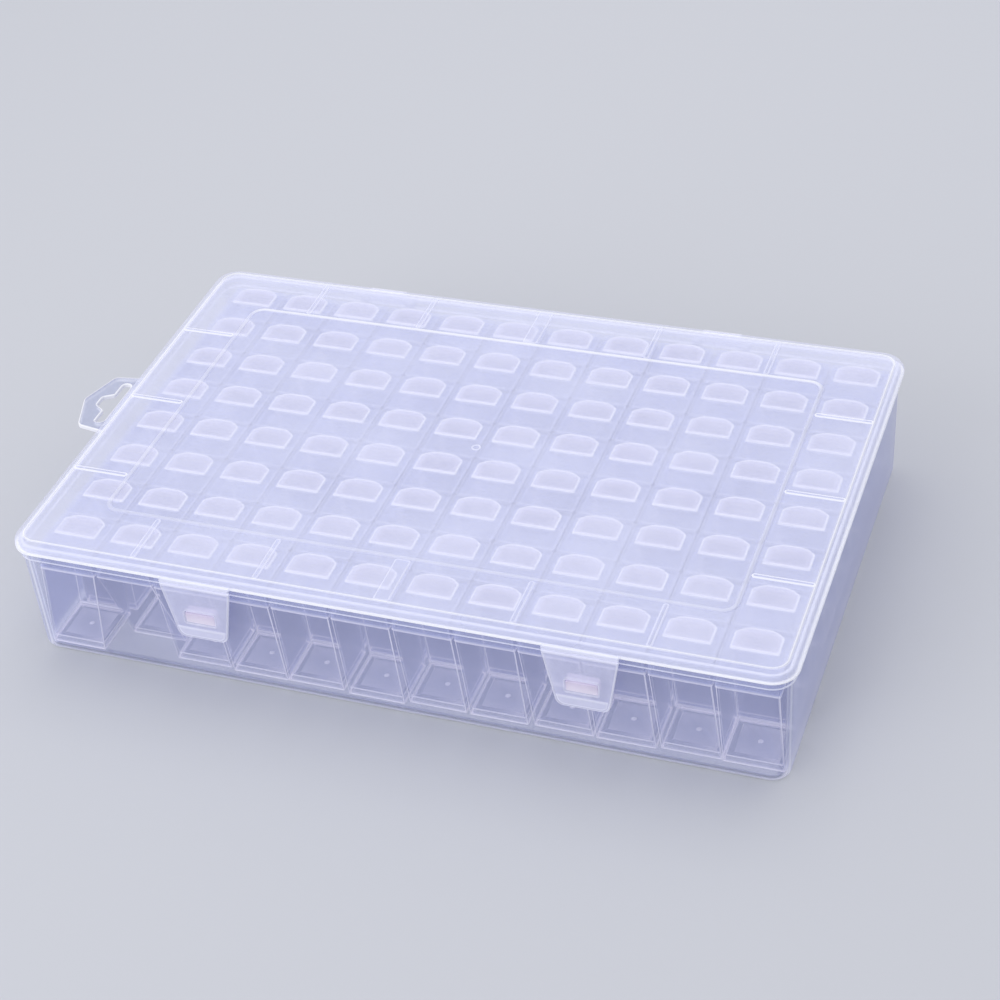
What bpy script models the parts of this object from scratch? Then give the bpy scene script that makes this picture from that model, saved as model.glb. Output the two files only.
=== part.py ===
"""A flat, hinged storage case of translucent polypropylene, filled with rows of small square jars.

The case is a tray and a shallow lid, joined by two snap hinges at the back and held by two
swinging latches in front. Each jar is a tapered cup, a cap that snaps over its neck, and a flap
on the cap that covers the pouring mouth.

The origin is the centre of the tray's underside: +X to the right, +Y to the hinges, +Z up.
"""

import math

import bmesh
import bpy
from mathutils import Vector

for old in list(bpy.data.objects):
    bpy.data.objects.remove(old)

MM = 0.001

# The closed case
CASE_WIDTH = 335 * MM
CASE_DEPTH = 220 * MM
CASE_HEIGHT = 60 * MM
CASE_CORNER_RADIUS = 11 * MM
SEAT_GAP = 0.3 * MM
EMBED = 0.6 * MM
OVERRUN = 3 * MM
WELD = 0.01 * MM

# Lid
LID_PLATE = 1.6 * MM
LID_SKIRT_WALL = 1.6 * MM
LID_SKIRT_HEIGHT = 5.4 * MM
LID_EDGE_RADIUS = 3.4 * MM
LID_BEAD_HEIGHT = 0.6 * MM
LID_BEAD_WIDTH = 1.6 * MM
LID_BEAD_SLOPE = 0.4 * MM
LID_BEAD_RADIUS = 7 * MM
LID_MARGIN_SIDE = 30 * MM
LID_MARGIN_FRONT = 30.4 * MM
LID_RIDGE_GAP = 0.6 * MM
LID_RIDGE_WIDTH = 0.9 * MM
LID_RIDGE_SLOPE = 0.2 * MM
LID_RIDGE_HEIGHT = 0.3 * MM
LID_RIB_HEIGHT = 0.4 * MM
LID_RIB_WIDTH = 2.6 * MM
LID_RIB_WIDTH_CENTRE = 7 * MM
LID_RIB_PITCH = 55 * MM
LID_RIB_PLACES_LONG = (-2, -1, 0, 1, 2)
LID_RIB_PLACES_SHORT = (-1, 0, 1)

# Tray
TRAY_INSET = 2.4 * MM
TRAY_DRAFT = 0.8 * MM
TRAY_WALL = 1.6 * MM
TRAY_FLOOR = 1.6 * MM
TRAY_BOTTOM_RADIUS = 3 * MM
TRAY_LIP_HEIGHT = 2.8 * MM
FLANGE_REACH = 1 * MM
FLANGE_HEIGHT = 3.6 * MM

# Hang tab on the left of the tray's rim, with its peg slot
TAB_REACH = 21 * MM
TAB_THICKNESS = 2 * MM
TAB_SHOULDER_REACH = 14.5 * MM
TAB_HALF_WIDTH = 21.5 * MM
TAB_SHOULDER_HALF_WIDTH = 19 * MM
TAB_CORNER_RADIUS = 3.5 * MM
SLOT_BRIDGE = 3.8 * MM
SLOT_WIDTH = 4.4 * MM
SLOT_LENGTH = 30 * MM
SLOT_BUMP_REACH = 5 * MM
SLOT_BUMP_ROOT = 12 * MM
SLOT_BUMP_TIP = 6 * MM
SLOT_CORNER_RADIUS = 2 * MM

# Hinges at the back: an eye on the lid turns on a pin between two ears of the tray
HINGE_SPACING = 164 * MM
HINGE_DROP = 3.6 * MM
HINGE_STANDOFF = 1 * MM
HINGE_BARREL_RADIUS = 2 * MM
HINGE_PIN_RADIUS = 1 * MM
HINGE_BORE_GAP = 0.4 * MM
HINGE_EYE_LENGTH = 18 * MM
HINGE_EAR_LENGTH = 4 * MM
HINGE_SIDE_GAP = 0.4 * MM
HINGE_NECK_HEIGHT = 2.4 * MM
HINGE_EAR_FOOT = 5 * MM

# Latches in front, hung from the lid's skirt
LATCH_SPACING = 164 * MM
LATCH_OFFSET = 2 * MM
LATCH_ROLL_RADIUS = 0.75 * MM
LATCH_PLATE = 1.3 * MM
LATCH_DROP = 27 * MM
LATCH_TOP_WIDTH = 31.4 * MM
LATCH_BOTTOM_WIDTH = 21.4 * MM
LATCH_CORNER_RADIUS = 3.5 * MM
LATCH_LIP_HEIGHT = 6 * MM
LATCH_LIP_REACH = 0.3 * MM
LATCH_LIP_MARGIN = 0.5 * MM
LATCH_ROOT_HEIGHT = 1 * MM
WINDOW_WIDTH = 13.4 * MM
WINDOW_HEIGHT = 6 * MM
WINDOW_DROP = 13 * MM
CATCH_GAP = 0.7 * MM
CATCH_REACH = 0.9 * MM

# Jars, which fill the tray but for some slack on the left
JAR_COLUMNS = 12
JAR_ROWS = 8
JAR_SLACK = 2.8 * MM
JAR_CORNER_GAP = 0.4 * MM
JAR_HEADROOM = 4.9 * MM
JAR_SPACE = 0.5 * MM

# Cup of one jar
CUP_WALL = 0.9 * MM
CUP_FLOOR = 1.3 * MM
CUP_BOTTOM_INSET = 1.3 * MM
CUP_TOP_INSET = 0.6 * MM
CUP_SHOULDER_INSET = 0.2 * MM

# Cap of one jar, with the mouth under its back half
CAP_HEIGHT = 9.7 * MM
CAP_PLATE = 1 * MM
CAP_WALL = 0.9 * MM
MOUTH_WIDTH = 16.4 * MM
MOUTH_DEPTH = 10.4 * MM
MOUTH_BACK_MARGIN = 2.4 * MM

# Flap of one jar
FLAP_WIDTH = 19.4 * MM
FLAP_PLATE = 1 * MM
FLAP_SIDE_DEPTH = 10.2 * MM
FLAP_TIP_DEPTH = 13.6 * MM
FLAP_BACK_MARGIN = 0.6 * MM
FLAP_ARC_STEPS = 4

# Faceting of the round shapes
CORNER_STEPS = 4
EDGE_STEPS = 3
ROUND_SIDES = 12
ROUND_STEP = 360 / ROUND_SIDES

# Where the main faces come from the sizes above
lid_plate_top = CASE_HEIGHT - LID_BEAD_HEIGHT
lid_plate_under = lid_plate_top - LID_PLATE
skirt_bottom = CASE_HEIGHT - LID_SKIRT_HEIGHT
flange_top = skirt_bottom - SEAT_GAP
flange_bottom = flange_top - FLANGE_HEIGHT
lip_top = flange_top + TRAY_LIP_HEIGHT
half_width = CASE_WIDTH / 2
half_depth = CASE_DEPTH / 2
flange_inset = TRAY_INSET - FLANGE_REACH
hinge_height = skirt_bottom - HINGE_DROP


def plastic(name, colour, roughness, transmission):
    """A Principled material for one kind of moulding."""
    material = bpy.data.materials.new(name)
    material.use_nodes = True
    shader = material.node_tree.nodes["Principled BSDF"]
    shader.inputs["Base Color"].default_value = (*colour, 1)
    shader.inputs["Roughness"].default_value = roughness
    shader.inputs["Metallic"].default_value = 0
    shader.inputs["Transmission Weight"].default_value = transmission
    return material


TRAY_PLASTIC = plastic("tray_polypropylene", (0.55, 0.60, 0.78), 0.35, 0.5)
LID_PLASTIC = plastic("lid_polypropylene", (0.72, 0.74, 0.90), 0.40, 0.4)
LATCH_PLASTIC = plastic("latch_polypropylene", (0.70, 0.73, 0.90), 0.35, 0.4)
CUP_PLASTIC = plastic("cup_polystyrene", (0.62, 0.66, 0.84), 0.20, 0.6)
CAP_PLASTIC = plastic("cap_polypropylene", (0.76, 0.79, 0.93), 0.30, 0.4)
FLAP_PLASTIC = plastic("flap_polypropylene", (0.80, 0.82, 0.95), 0.30, 0.3)


def rounded_rectangle(half_x, half_y, radius, height):
    """Points of a rectangle with round corners, counter-clockwise at one height."""
    centres = (
        (half_x - radius, half_y - radius, 0),
        (radius - half_x, half_y - radius, 1),
        (radius - half_x, radius - half_y, 2),
        (half_x - radius, radius - half_y, 3),
    )
    points = []
    for centre_x, centre_y, quarter in centres:
        for step in range(CORNER_STEPS + 1):
            angle = math.radians(90) * (quarter + step / CORNER_STEPS)
            points.append(
                Vector((
                    centre_x + radius * math.cos(angle),
                    centre_y + radius * math.sin(angle),
                    height,
                ))
            )
    return points


def case_ring(inset, height):
    """The case's outline drawn in by an inset, with its corners kept concentric."""
    radius = CASE_CORNER_RADIUS - inset
    return rounded_rectangle(half_width - inset, half_depth - inset, radius, height)


def square_ring(left, right, front, back, height):
    """The four corners of an upright rectangle's level section, counter-clockwise."""
    return [
        Vector((left, front, height)),
        Vector((right, front, height)),
        Vector((right, back, height)),
        Vector((left, back, height)),
    ]


def round_corners(corners, radii):
    """A flat outline with an arc at each corner; the corners are (u, v) pairs."""
    points = []
    count = len(corners)
    for index, corner in enumerate(corners):
        here = Vector(corner)
        before = (Vector(corners[index - 1]) - here).normalized()
        after = (Vector(corners[(index + 1) % count]) - here).normalized()
        if radii[index] == 0:
            points.append(here)
            continue
        half_angle = before.angle(after) / 2
        centre = here + (before + after).normalized() * (radii[index] / math.sin(half_angle))
        first = here + before * (radii[index] / math.tan(half_angle))
        last = here + after * (radii[index] / math.tan(half_angle))
        sweep = (first - centre).angle_signed(last - centre)
        for step in range(CORNER_STEPS + 1):
            turn = -sweep * step / CORNER_STEPS
            offset = first - centre
            points.append(
                centre
                + Vector((
                    offset.x * math.cos(turn) - offset.y * math.sin(turn),
                    offset.x * math.sin(turn) + offset.y * math.cos(turn),
                ))
            )
    return points


def loft(mesh, rings, closed=False):
    """Joins rings of equal length by quads; the ends are filled unless the rings form a loop."""
    loops = [[mesh.verts.new(point) for point in ring] for ring in rings]
    count = len(loops[0])
    pairs = list(zip(loops, loops[1:]))
    if closed:
        pairs.append((loops[-1], loops[0]))
    for lower, upper in pairs:
        for index in range(count):
            following = (index + 1) % count
            mesh.faces.new((lower[index], lower[following], upper[following], upper[index]))
    if not closed:
        mesh.faces.new(list(reversed(loops[0])))
        mesh.faces.new(loops[-1])


def prism(mesh, outline, across, start, end):
    """Runs a flat outline from start to end along the axis named by across."""
    place = {
        "X": lambda point, depth: Vector((depth, point[0], point[1])),
        "Y": lambda point, depth: Vector((point[0], depth, point[1])),
        "Z": lambda point, depth: Vector((point[0], point[1], depth)),
    }[across]
    rings = [[place(point, depth) for point in outline] for depth in (start, end)]
    loft(mesh, rings)


def arc(centre_u, centre_v, radius, start, end):
    """Points of a round section, from one angle to another in degrees."""
    points = []
    for step in range(round((end - start) / ROUND_STEP) + 1):
        turn = math.radians(start + step * ROUND_STEP)
        points.append((centre_u + radius * math.cos(turn), centre_v + radius * math.sin(turn)))
    return points


def circle(centre_u, centre_v, radius):
    """The points of a whole round section."""
    return arc(centre_u, centre_v, radius, 0, 360)[:-1]


def finish(mesh, name, material, axis_point=(0, 0, 0)):
    """Turns a bmesh into a named object whose origin is axis_point."""
    bmesh.ops.recalc_face_normals(mesh, faces=mesh.faces)
    bmesh.ops.translate(mesh, verts=mesh.verts, vec=-Vector(axis_point))
    data = bpy.data.meshes.new(name)
    mesh.to_mesh(data)
    mesh.free()
    data.shade_smooth()
    data.set_sharp_from_angle(angle=math.radians(30))
    item = bpy.data.objects.new(name, data)
    item.location = axis_point
    bpy.context.scene.collection.objects.link(item)
    if material is not None:
        data.materials.append(material)
    return item


def boolean(target, mesh, name, operation):
    """Joins a tool shape to the target, or cuts it out, and keeps the tool as a wire guide."""
    tool = finish(mesh, name, None)
    tool.hide_render = True
    tool.display_type = "WIRE"
    modifier = target.modifiers.new(name, "BOOLEAN")
    modifier.operation = operation
    modifier.solver = "EXACT"
    modifier.object = tool


def either_side(spacing, offset=0):
    """The two X positions of a pair that stands left and right."""
    return [offset - spacing / 2, offset + spacing / 2]


# Tray

tray_bottom_inset = TRAY_INSET + TRAY_DRAFT


def tray_inset(height):
    """How far the drafted outer wall stands inside the skirt's outline at a height."""
    share = height / flange_bottom
    return tray_bottom_inset - TRAY_DRAFT * share


def build_tray():
    """The open tray: outside from the bottom edge up over flange and lip, then down the inside."""
    rings = []
    for step in range(EDGE_STEPS + 1):
        angle = math.radians(90) * step / EDGE_STEPS
        rise = TRAY_BOTTOM_RADIUS * (1 - math.cos(angle))
        draw_in = TRAY_BOTTOM_RADIUS * (1 - math.sin(angle))
        rings.append(case_ring(tray_inset(TRAY_BOTTOM_RADIUS) + draw_in, rise))
    rings.append(case_ring(TRAY_INSET, flange_bottom))
    rings.append(case_ring(flange_inset, flange_bottom))
    rings.append(case_ring(flange_inset, flange_top))
    rings.append(case_ring(TRAY_INSET, flange_top))
    rings.append(case_ring(TRAY_INSET, lip_top))
    rings.append(case_ring(TRAY_INSET + TRAY_WALL, lip_top))
    for step in range(EDGE_STEPS + 1):
        angle = math.radians(90) * step / EDGE_STEPS
        inner_radius = TRAY_BOTTOM_RADIUS - TRAY_WALL
        rise = TRAY_FLOOR + inner_radius * (1 - math.sin(angle))
        draw_in = TRAY_WALL + inner_radius * (1 - math.cos(angle))
        rings.append(case_ring(tray_inset(TRAY_BOTTOM_RADIUS) + draw_in, rise))
    mesh = bmesh.new()
    loft(mesh, rings)
    return finish(mesh, "case_base", TRAY_PLASTIC)


def add_hang_tab(tray):
    """A flat tab on the rim, with a slot whose bump takes the tip of a display peg."""
    side = -(half_width - flange_inset)
    shoulder = -half_width - TAB_SHOULDER_REACH
    outline = round_corners(
        (
            (side + EMBED, -TAB_HALF_WIDTH),
            (side + EMBED, TAB_HALF_WIDTH),
            (shoulder, TAB_SHOULDER_HALF_WIDTH),
            (-half_width - TAB_REACH, 0),
            (shoulder, -TAB_SHOULDER_HALF_WIDTH),
        ),
        (0, 0, TAB_CORNER_RADIUS, TAB_CORNER_RADIUS, TAB_CORNER_RADIUS),
    )
    tab_middle = (flange_top + flange_bottom) / 2
    mesh = bmesh.new()
    prism(mesh, outline, "Z", tab_middle - TAB_THICKNESS / 2, tab_middle + TAB_THICKNESS / 2)
    boolean(tray, mesh, "hang_tab_shape", "UNION")

    near = -half_width - SLOT_BRIDGE
    far = near - SLOT_WIDTH
    tip = far - SLOT_BUMP_REACH
    corner = SLOT_CORNER_RADIUS
    outline = round_corners(
        (
            (near, -SLOT_LENGTH / 2),
            (near, SLOT_LENGTH / 2),
            (far, SLOT_LENGTH / 2),
            (far, SLOT_BUMP_ROOT / 2),
            (tip, SLOT_BUMP_TIP / 2),
            (tip, -SLOT_BUMP_TIP / 2),
            (far, -SLOT_BUMP_ROOT / 2),
            (far, -SLOT_LENGTH / 2),
        ),
        (corner, corner, corner, 0, corner, corner, 0, corner),
    )
    mesh = bmesh.new()
    prism(mesh, outline, "Z", flange_bottom - OVERRUN, flange_top + OVERRUN)
    boolean(tray, mesh, "hang_slot_cutter", "DIFFERENCE")


hinge_y = half_depth + HINGE_STANDOFF
lid_hinge_axis = (0, hinge_y, hinge_height)


def add_hinge_ears(tray):
    """The ears stand out from the rim, and a pin moulded with them runs from ear to ear."""
    wall = half_depth - TRAY_INSET - EMBED
    foot = hinge_height - HINGE_BARREL_RADIUS - HINGE_EAR_FOOT
    outline = [
        (wall, foot),
        *arc(hinge_y, hinge_height, HINGE_BARREL_RADIUS, -90, 90),
        (wall, hinge_height + HINGE_PIN_RADIUS),
    ]
    pin = circle(hinge_y, hinge_height, HINGE_PIN_RADIUS)
    inner = HINGE_EYE_LENGTH / 2 + HINGE_SIDE_GAP
    outer = inner + HINGE_EAR_LENGTH
    ears = bmesh.new()
    pins = bmesh.new()
    for x in either_side(HINGE_SPACING):
        prism(ears, outline, "X", x - outer, x - inner)
        prism(ears, outline, "X", x + inner, x + outer)
        prism(pins, pin, "X", x - inner - EMBED, x + inner + EMBED)
    boolean(tray, ears, "hinge_ear_shapes", "UNION")
    boolean(tray, pins, "hinge_pin_shapes", "UNION")


latch_axis_y = -half_depth - SEAT_GAP - LATCH_ROLL_RADIUS
latch_axis_z = skirt_bottom - SEAT_GAP - LATCH_ROLL_RADIUS
window_top = latch_axis_z - WINDOW_DROP
window_bottom = window_top - WINDOW_HEIGHT
latch_back = latch_axis_y + LATCH_PLATE / 2
latch_front = latch_axis_y - LATCH_PLATE / 2


def add_catches(tray):
    """Wedges on the front wall that stand in the latches' windows."""
    catches = bmesh.new()
    wall = -(half_depth - tray_inset(window_bottom)) + EMBED
    half = WINDOW_WIDTH / 2 - CATCH_GAP
    low = window_bottom + CATCH_GAP
    high = window_top - CATCH_GAP
    outline = (
        (wall, low),
        (latch_back - CATCH_REACH, low),
        (latch_back - CATCH_REACH, (low + high) / 2),
        (wall, high),
    )
    for x in either_side(LATCH_SPACING, LATCH_OFFSET):
        prism(catches, outline, "X", x - half, x + half)
    boolean(tray, catches, "catch_shapes", "UNION")


# Lid

ridge_inset = LID_EDGE_RADIUS + LID_RIDGE_GAP


def build_lid():
    """The shallow lid: inside of the skirt, its rim, the rounded edge, the ridge and the bead."""
    rings = [
        case_ring(LID_SKIRT_WALL, lid_plate_under),
        case_ring(LID_SKIRT_WALL, skirt_bottom),
        case_ring(0, skirt_bottom),
    ]
    for step in range(EDGE_STEPS + 1):
        angle = math.radians(90) * step / EDGE_STEPS
        drop = LID_EDGE_RADIUS * (1 - math.sin(angle))
        draw_in = LID_EDGE_RADIUS * (1 - math.cos(angle))
        rings.append(case_ring(draw_in, lid_plate_top - drop))
    ridge_top = lid_plate_top + LID_RIDGE_HEIGHT
    for extra, height in (
        (0, lid_plate_top),
        (LID_RIDGE_SLOPE, ridge_top),
        (LID_RIDGE_WIDTH - LID_RIDGE_SLOPE, ridge_top),
        (LID_RIDGE_WIDTH, lid_plate_top),
    ):
        rings.append(case_ring(ridge_inset + extra, height))
    bead_top = lid_plate_top + LID_BEAD_HEIGHT
    for extra, height in (
        (0, lid_plate_top),
        (LID_BEAD_SLOPE, bead_top),
        (LID_BEAD_WIDTH - LID_BEAD_SLOPE, bead_top),
        (LID_BEAD_WIDTH, lid_plate_top),
    ):
        rings.append(
            rounded_rectangle(
                half_width - LID_MARGIN_SIDE - extra,
                half_depth - LID_MARGIN_FRONT - extra,
                LID_BEAD_RADIUS - extra,
                height,
            )
        )
    mesh = bmesh.new()
    loft(mesh, rings)
    return finish(mesh, "case_lid", LID_PLASTIC, lid_hinge_axis)


def add_margin_ribs(lid):
    """Low flat ribs that cross the margin between the lid's ridge and its bead."""
    ribs = bmesh.new()
    low = lid_plate_top - EMBED
    high = lid_plate_top + LID_RIB_HEIGHT
    bead_middle = LID_BEAD_WIDTH / 2
    ridge_middle = ridge_inset + LID_RIDGE_WIDTH / 2
    out_x = half_width - ridge_middle
    in_x = half_width - LID_MARGIN_SIDE - bead_middle
    out_y = half_depth - ridge_middle
    in_y = half_depth - LID_MARGIN_FRONT - bead_middle
    spans = []
    for place in LID_RIB_PLACES_LONG:
        middle = place * LID_RIB_PITCH
        half = (LID_RIB_WIDTH if place else LID_RIB_WIDTH_CENTRE) / 2
        spans.append((middle - half, middle + half, -out_y, -in_y))
        spans.append((middle - half, middle + half, in_y, out_y))
    for place in LID_RIB_PLACES_SHORT:
        middle = place * LID_RIB_PITCH
        half = LID_RIB_WIDTH / 2
        spans.append((-out_x, -in_x, middle - half, middle + half))
        spans.append((in_x, out_x, middle - half, middle + half))
    for left, right, front, back in spans:
        outline = ((left, front), (right, front), (right, back), (left, back))
        prism(ribs, outline, "Z", low, high)
    boolean(lid, ribs, "margin_rib_shapes", "UNION")


def add_hinge_eyes(lid):
    """Each eye hangs from the back of the skirt on a short neck and goes round its pin."""
    front = hinge_y - HINGE_BARREL_RADIUS
    back = hinge_y + HINGE_BARREL_RADIUS
    neck_top = skirt_bottom + HINGE_NECK_HEIGHT
    outline = [
        *arc(hinge_y, hinge_height, HINGE_BARREL_RADIUS, 180, 360),
        (back, neck_top - HINGE_STANDOFF),
        (hinge_y, neck_top),
        (front, neck_top),
    ]
    bore = circle(hinge_y, hinge_height, HINGE_PIN_RADIUS + HINGE_BORE_GAP)
    half = HINGE_EYE_LENGTH / 2
    eyes = bmesh.new()
    bores = bmesh.new()
    for x in either_side(HINGE_SPACING):
        prism(eyes, outline, "X", x - half, x + half)
        prism(bores, bore, "X", x - half - OVERRUN, x + half + OVERRUN)
    boolean(lid, eyes, "hinge_eye_shapes", "UNION")
    boolean(lid, bores, "hinge_bore_cutters", "DIFFERENCE")


def add_latch_roots(lid):
    """The ledges at the foot of the skirt, under which the latches hang."""
    roots = bmesh.new()
    outline = [
        (-half_depth + EMBED, skirt_bottom),
        (-half_depth + EMBED, skirt_bottom + LATCH_ROOT_HEIGHT + EMBED),
        (latch_front, skirt_bottom + LATCH_ROOT_HEIGHT),
        (latch_front, skirt_bottom),
    ]
    half = LATCH_TOP_WIDTH / 2
    for x in either_side(LATCH_SPACING, LATCH_OFFSET):
        prism(roots, outline, "X", x - half, x + half)
    boolean(lid, roots, "latch_root_shapes", "UNION")


# Latches

def latch_half_width(drop):
    """Half the latch's width at a distance below its axis."""
    return (LATCH_TOP_WIDTH + (LATCH_BOTTOM_WIDTH - LATCH_TOP_WIDTH) * drop / LATCH_DROP) / 2


def build_latch(name, x):
    """A tapering plate below a round roll, with a window for the catch and a thicker lip."""
    bottom = latch_axis_z - LATCH_DROP
    top_half = latch_half_width(0)
    bottom_half = latch_half_width(LATCH_DROP)
    outline = round_corners(
        (
            (x - top_half, latch_axis_z),
            (x + top_half, latch_axis_z),
            (x + bottom_half, bottom),
            (x - bottom_half, bottom),
        ),
        (0, 0, LATCH_CORNER_RADIUS, LATCH_CORNER_RADIUS),
    )
    mesh = bmesh.new()
    prism(mesh, outline, "Y", latch_front, latch_back)
    latch = finish(mesh, name, LATCH_PLASTIC, (x, latch_axis_y, latch_axis_z))

    roll = bmesh.new()
    section = circle(latch_axis_y, latch_axis_z, LATCH_ROLL_RADIUS)
    prism(roll, section, "X", x - top_half, x + top_half)
    boolean(latch, roll, name + "_roll_shape", "UNION")

    lip = bmesh.new()
    lip_drop = LATCH_DROP - LATCH_LIP_HEIGHT
    lip_half = latch_half_width(lip_drop) - LATCH_LIP_MARGIN
    foot_half = bottom_half - LATCH_LIP_MARGIN
    outline = round_corners(
        (
            (x - lip_half, latch_axis_z - lip_drop),
            (x + lip_half, latch_axis_z - lip_drop),
            (x + foot_half, bottom + LATCH_LIP_MARGIN),
            (x - foot_half, bottom + LATCH_LIP_MARGIN),
        ),
        (0, 0, LATCH_CORNER_RADIUS, LATCH_CORNER_RADIUS),
    )
    prism(lip, outline, "Y", latch_front - LATCH_LIP_REACH, latch_axis_y)
    boolean(latch, lip, name + "_lip_shape", "UNION")

    window = bmesh.new()
    half = WINDOW_WIDTH / 2
    outline = (
        (x - half, window_bottom),
        (x + half, window_bottom),
        (x + half, window_top),
        (x - half, window_top),
    )
    prism(window, outline, "Y", latch_front - OVERRUN, latch_back + OVERRUN)
    boolean(latch, window, name + "_window_cutter", "DIFFERENCE")


# Jars

tray_corner_radius = CASE_CORNER_RADIUS - TRAY_INSET - TRAY_WALL
corner_room = tray_corner_radius * (1 - math.cos(math.radians(45))) + JAR_CORNER_GAP
inner_half_width = half_width - TRAY_INSET - TRAY_WALL
inner_half_depth = half_depth - TRAY_INSET - TRAY_WALL
block_left = -inner_half_width + corner_room + JAR_SLACK
block_right = inner_half_width - corner_room
block_back = inner_half_depth - corner_room
pitch_x = (block_right - block_left) / JAR_COLUMNS
pitch_y = 2 * block_back / JAR_ROWS
jar_floor = TRAY_FLOOR + SEAT_GAP
cap_top = lid_plate_under - JAR_HEADROOM
cap_bottom = cap_top - CAP_HEIGHT
cap_under = cap_top - CAP_PLATE
cap_half_x = (pitch_x - JAR_SPACE) / 2
cap_half_y = (pitch_y - JAR_SPACE) / 2
flap_hinge_z = cap_top + SEAT_GAP + FLAP_PLATE / 2
flap_back = cap_half_y - FLAP_BACK_MARGIN
flap_front = flap_back - FLAP_TIP_DEPTH
flap_hinge_y = flap_front + FLAP_PLATE / 2


def column_x(column):
    """Columns count from the left."""
    return block_left + (column + 0.5) * pitch_x


def row_y(row):
    """Rows count from the front."""
    return -block_back + (row + 0.5) * pitch_y


def jar_ring(x, y, inset, height):
    """A level section of a jar, drawn in from the cap's outside."""
    half_x = cap_half_x - inset
    half_y = cap_half_y - inset
    return square_ring(x - half_x, x + half_x, y - half_y, y + half_y, height)


def cell_ring(x, y, inset, height):
    """A jar's share of its column at one height, which meets its neighbours' in front and behind."""
    half_x = cap_half_x - inset
    half_y = pitch_y / 2
    return square_ring(x - half_x, x + half_x, y - half_y, y + half_y, height)


def close_strip(mesh, rows, lower_of, upper_of):
    """Adds the outer sides of a column of cells, then welds the cells into one closed body."""
    for row in rows:
        lower = lower_of(row)
        upper = upper_of(row)
        sides = [1, 3]
        if row == rows[0]:
            sides.append(0)
        if row == rows[-1]:
            sides.append(2)
        for side in sides:
            following = (side + 1) % 4
            corners = (lower[side], lower[following], upper[following], upper[side])
            mesh.faces.new([mesh.verts.new(corner) for corner in corners])
    bmesh.ops.remove_doubles(mesh, verts=mesh.verts, dist=WELD)


def band(mesh, rings, filled=False):
    """Joins rings of four corners by quads, and fills the last one if asked."""
    loops = [[mesh.verts.new(point) for point in ring] for ring in rings]
    for lower, upper in zip(loops, loops[1:]):
        for index in range(4):
            following = (index + 1) % 4
            mesh.faces.new((lower[index], lower[following], upper[following], upper[index]))
    if filled:
        mesh.faces.new(loops[-1])


def build_cup_column(column):
    """Tapered cups that hang from a thin deck at their shoulders, each with its neck above."""
    x = column_x(column)
    shoulder = cap_bottom - SEAT_GAP
    deck_under = shoulder - CUP_WALL
    neck_outer = CAP_WALL + SEAT_GAP
    neck_inner = neck_outer + CUP_WALL
    neck_top = cap_under - SEAT_GAP
    mesh = bmesh.new()
    for row in range(JAR_ROWS):
        y = row_y(row)
        band(mesh, [
            cell_ring(x, y, CUP_SHOULDER_INSET, deck_under),
            jar_ring(x, y, CUP_TOP_INSET, deck_under),
            jar_ring(x, y, CUP_BOTTOM_INSET, jar_floor),
        ], filled=True)
        band(mesh, [
            cell_ring(x, y, CUP_SHOULDER_INSET, shoulder),
            jar_ring(x, y, neck_outer, shoulder),
            jar_ring(x, y, neck_outer, neck_top),
            jar_ring(x, y, neck_inner, neck_top),
            jar_ring(x, y, neck_inner, deck_under),
            jar_ring(x, y, CUP_BOTTOM_INSET + CUP_WALL, jar_floor + CUP_FLOOR),
        ], filled=True)
    close_strip(
        mesh,
        range(JAR_ROWS),
        lambda row: cell_ring(x, row_y(row), CUP_SHOULDER_INSET, deck_under),
        lambda row: cell_ring(x, row_y(row), CUP_SHOULDER_INSET, shoulder),
    )
    finish(mesh, "jar_cups_column_" + str(column + 1), CUP_PLASTIC, (x, 0, jar_floor))


def build_cap_column(column):
    """Caps whose skirts go over the necks, each with a mouth under its back half."""
    x = column_x(column)
    mesh = bmesh.new()
    for row in range(JAR_ROWS):
        y = row_y(row)
        back = y + cap_half_y - MOUTH_BACK_MARGIN
        mouth = (x - MOUTH_WIDTH / 2, x + MOUTH_WIDTH / 2, back - MOUTH_DEPTH, back)
        band(mesh, [
            cell_ring(x, y, 0, cap_top),
            square_ring(*mouth, cap_top),
            square_ring(*mouth, cap_under),
            jar_ring(x, y, CAP_WALL, cap_under),
            jar_ring(x, y, CAP_WALL, cap_bottom),
            cell_ring(x, y, 0, cap_bottom),
        ])
    close_strip(
        mesh,
        range(JAR_ROWS),
        lambda row: cell_ring(x, row_y(row), 0, cap_bottom),
        lambda row: cell_ring(x, row_y(row), 0, cap_top),
    )
    finish(mesh, "jar_caps_column_" + str(column + 1), CAP_PLASTIC, (x, 0, cap_top))


def build_flap_row(row):
    """The flaps of one row, which turn on one axis, joined by a thin rod along it."""
    y = row_y(row)
    front = y + flap_front
    half = FLAP_WIDTH / 2
    rise = FLAP_TIP_DEPTH - FLAP_SIDE_DEPTH
    outline = [
        (column_x(0) - half, front),
        (column_x(JAR_COLUMNS - 1) + half, front),
    ]
    for column in reversed(range(JAR_COLUMNS)):
        x = column_x(column)
        if column < JAR_COLUMNS - 1:
            outline.append((x + half, front + FLAP_PLATE))
        for step in range(FLAP_ARC_STEPS + 1):
            across = 1 - 2 * step / FLAP_ARC_STEPS
            depth = FLAP_SIDE_DEPTH + rise * (1 - across * across)
            outline.append((x + half * across, front + depth))
        if column > 0:
            outline.append((x - half, front + FLAP_PLATE))
    mesh = bmesh.new()
    underside = cap_top + SEAT_GAP
    prism(mesh, outline, "Z", underside, underside + FLAP_PLATE)
    hinge_point = (0, y + flap_hinge_y, flap_hinge_z)
    finish(mesh, "jar_flaps_row_" + str(row + 1), FLAP_PLASTIC, hinge_point)


tray = build_tray()
add_hang_tab(tray)
add_hinge_ears(tray)
add_catches(tray)

lid = build_lid()
add_margin_ribs(lid)
add_hinge_eyes(lid)
add_latch_roots(lid)

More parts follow.
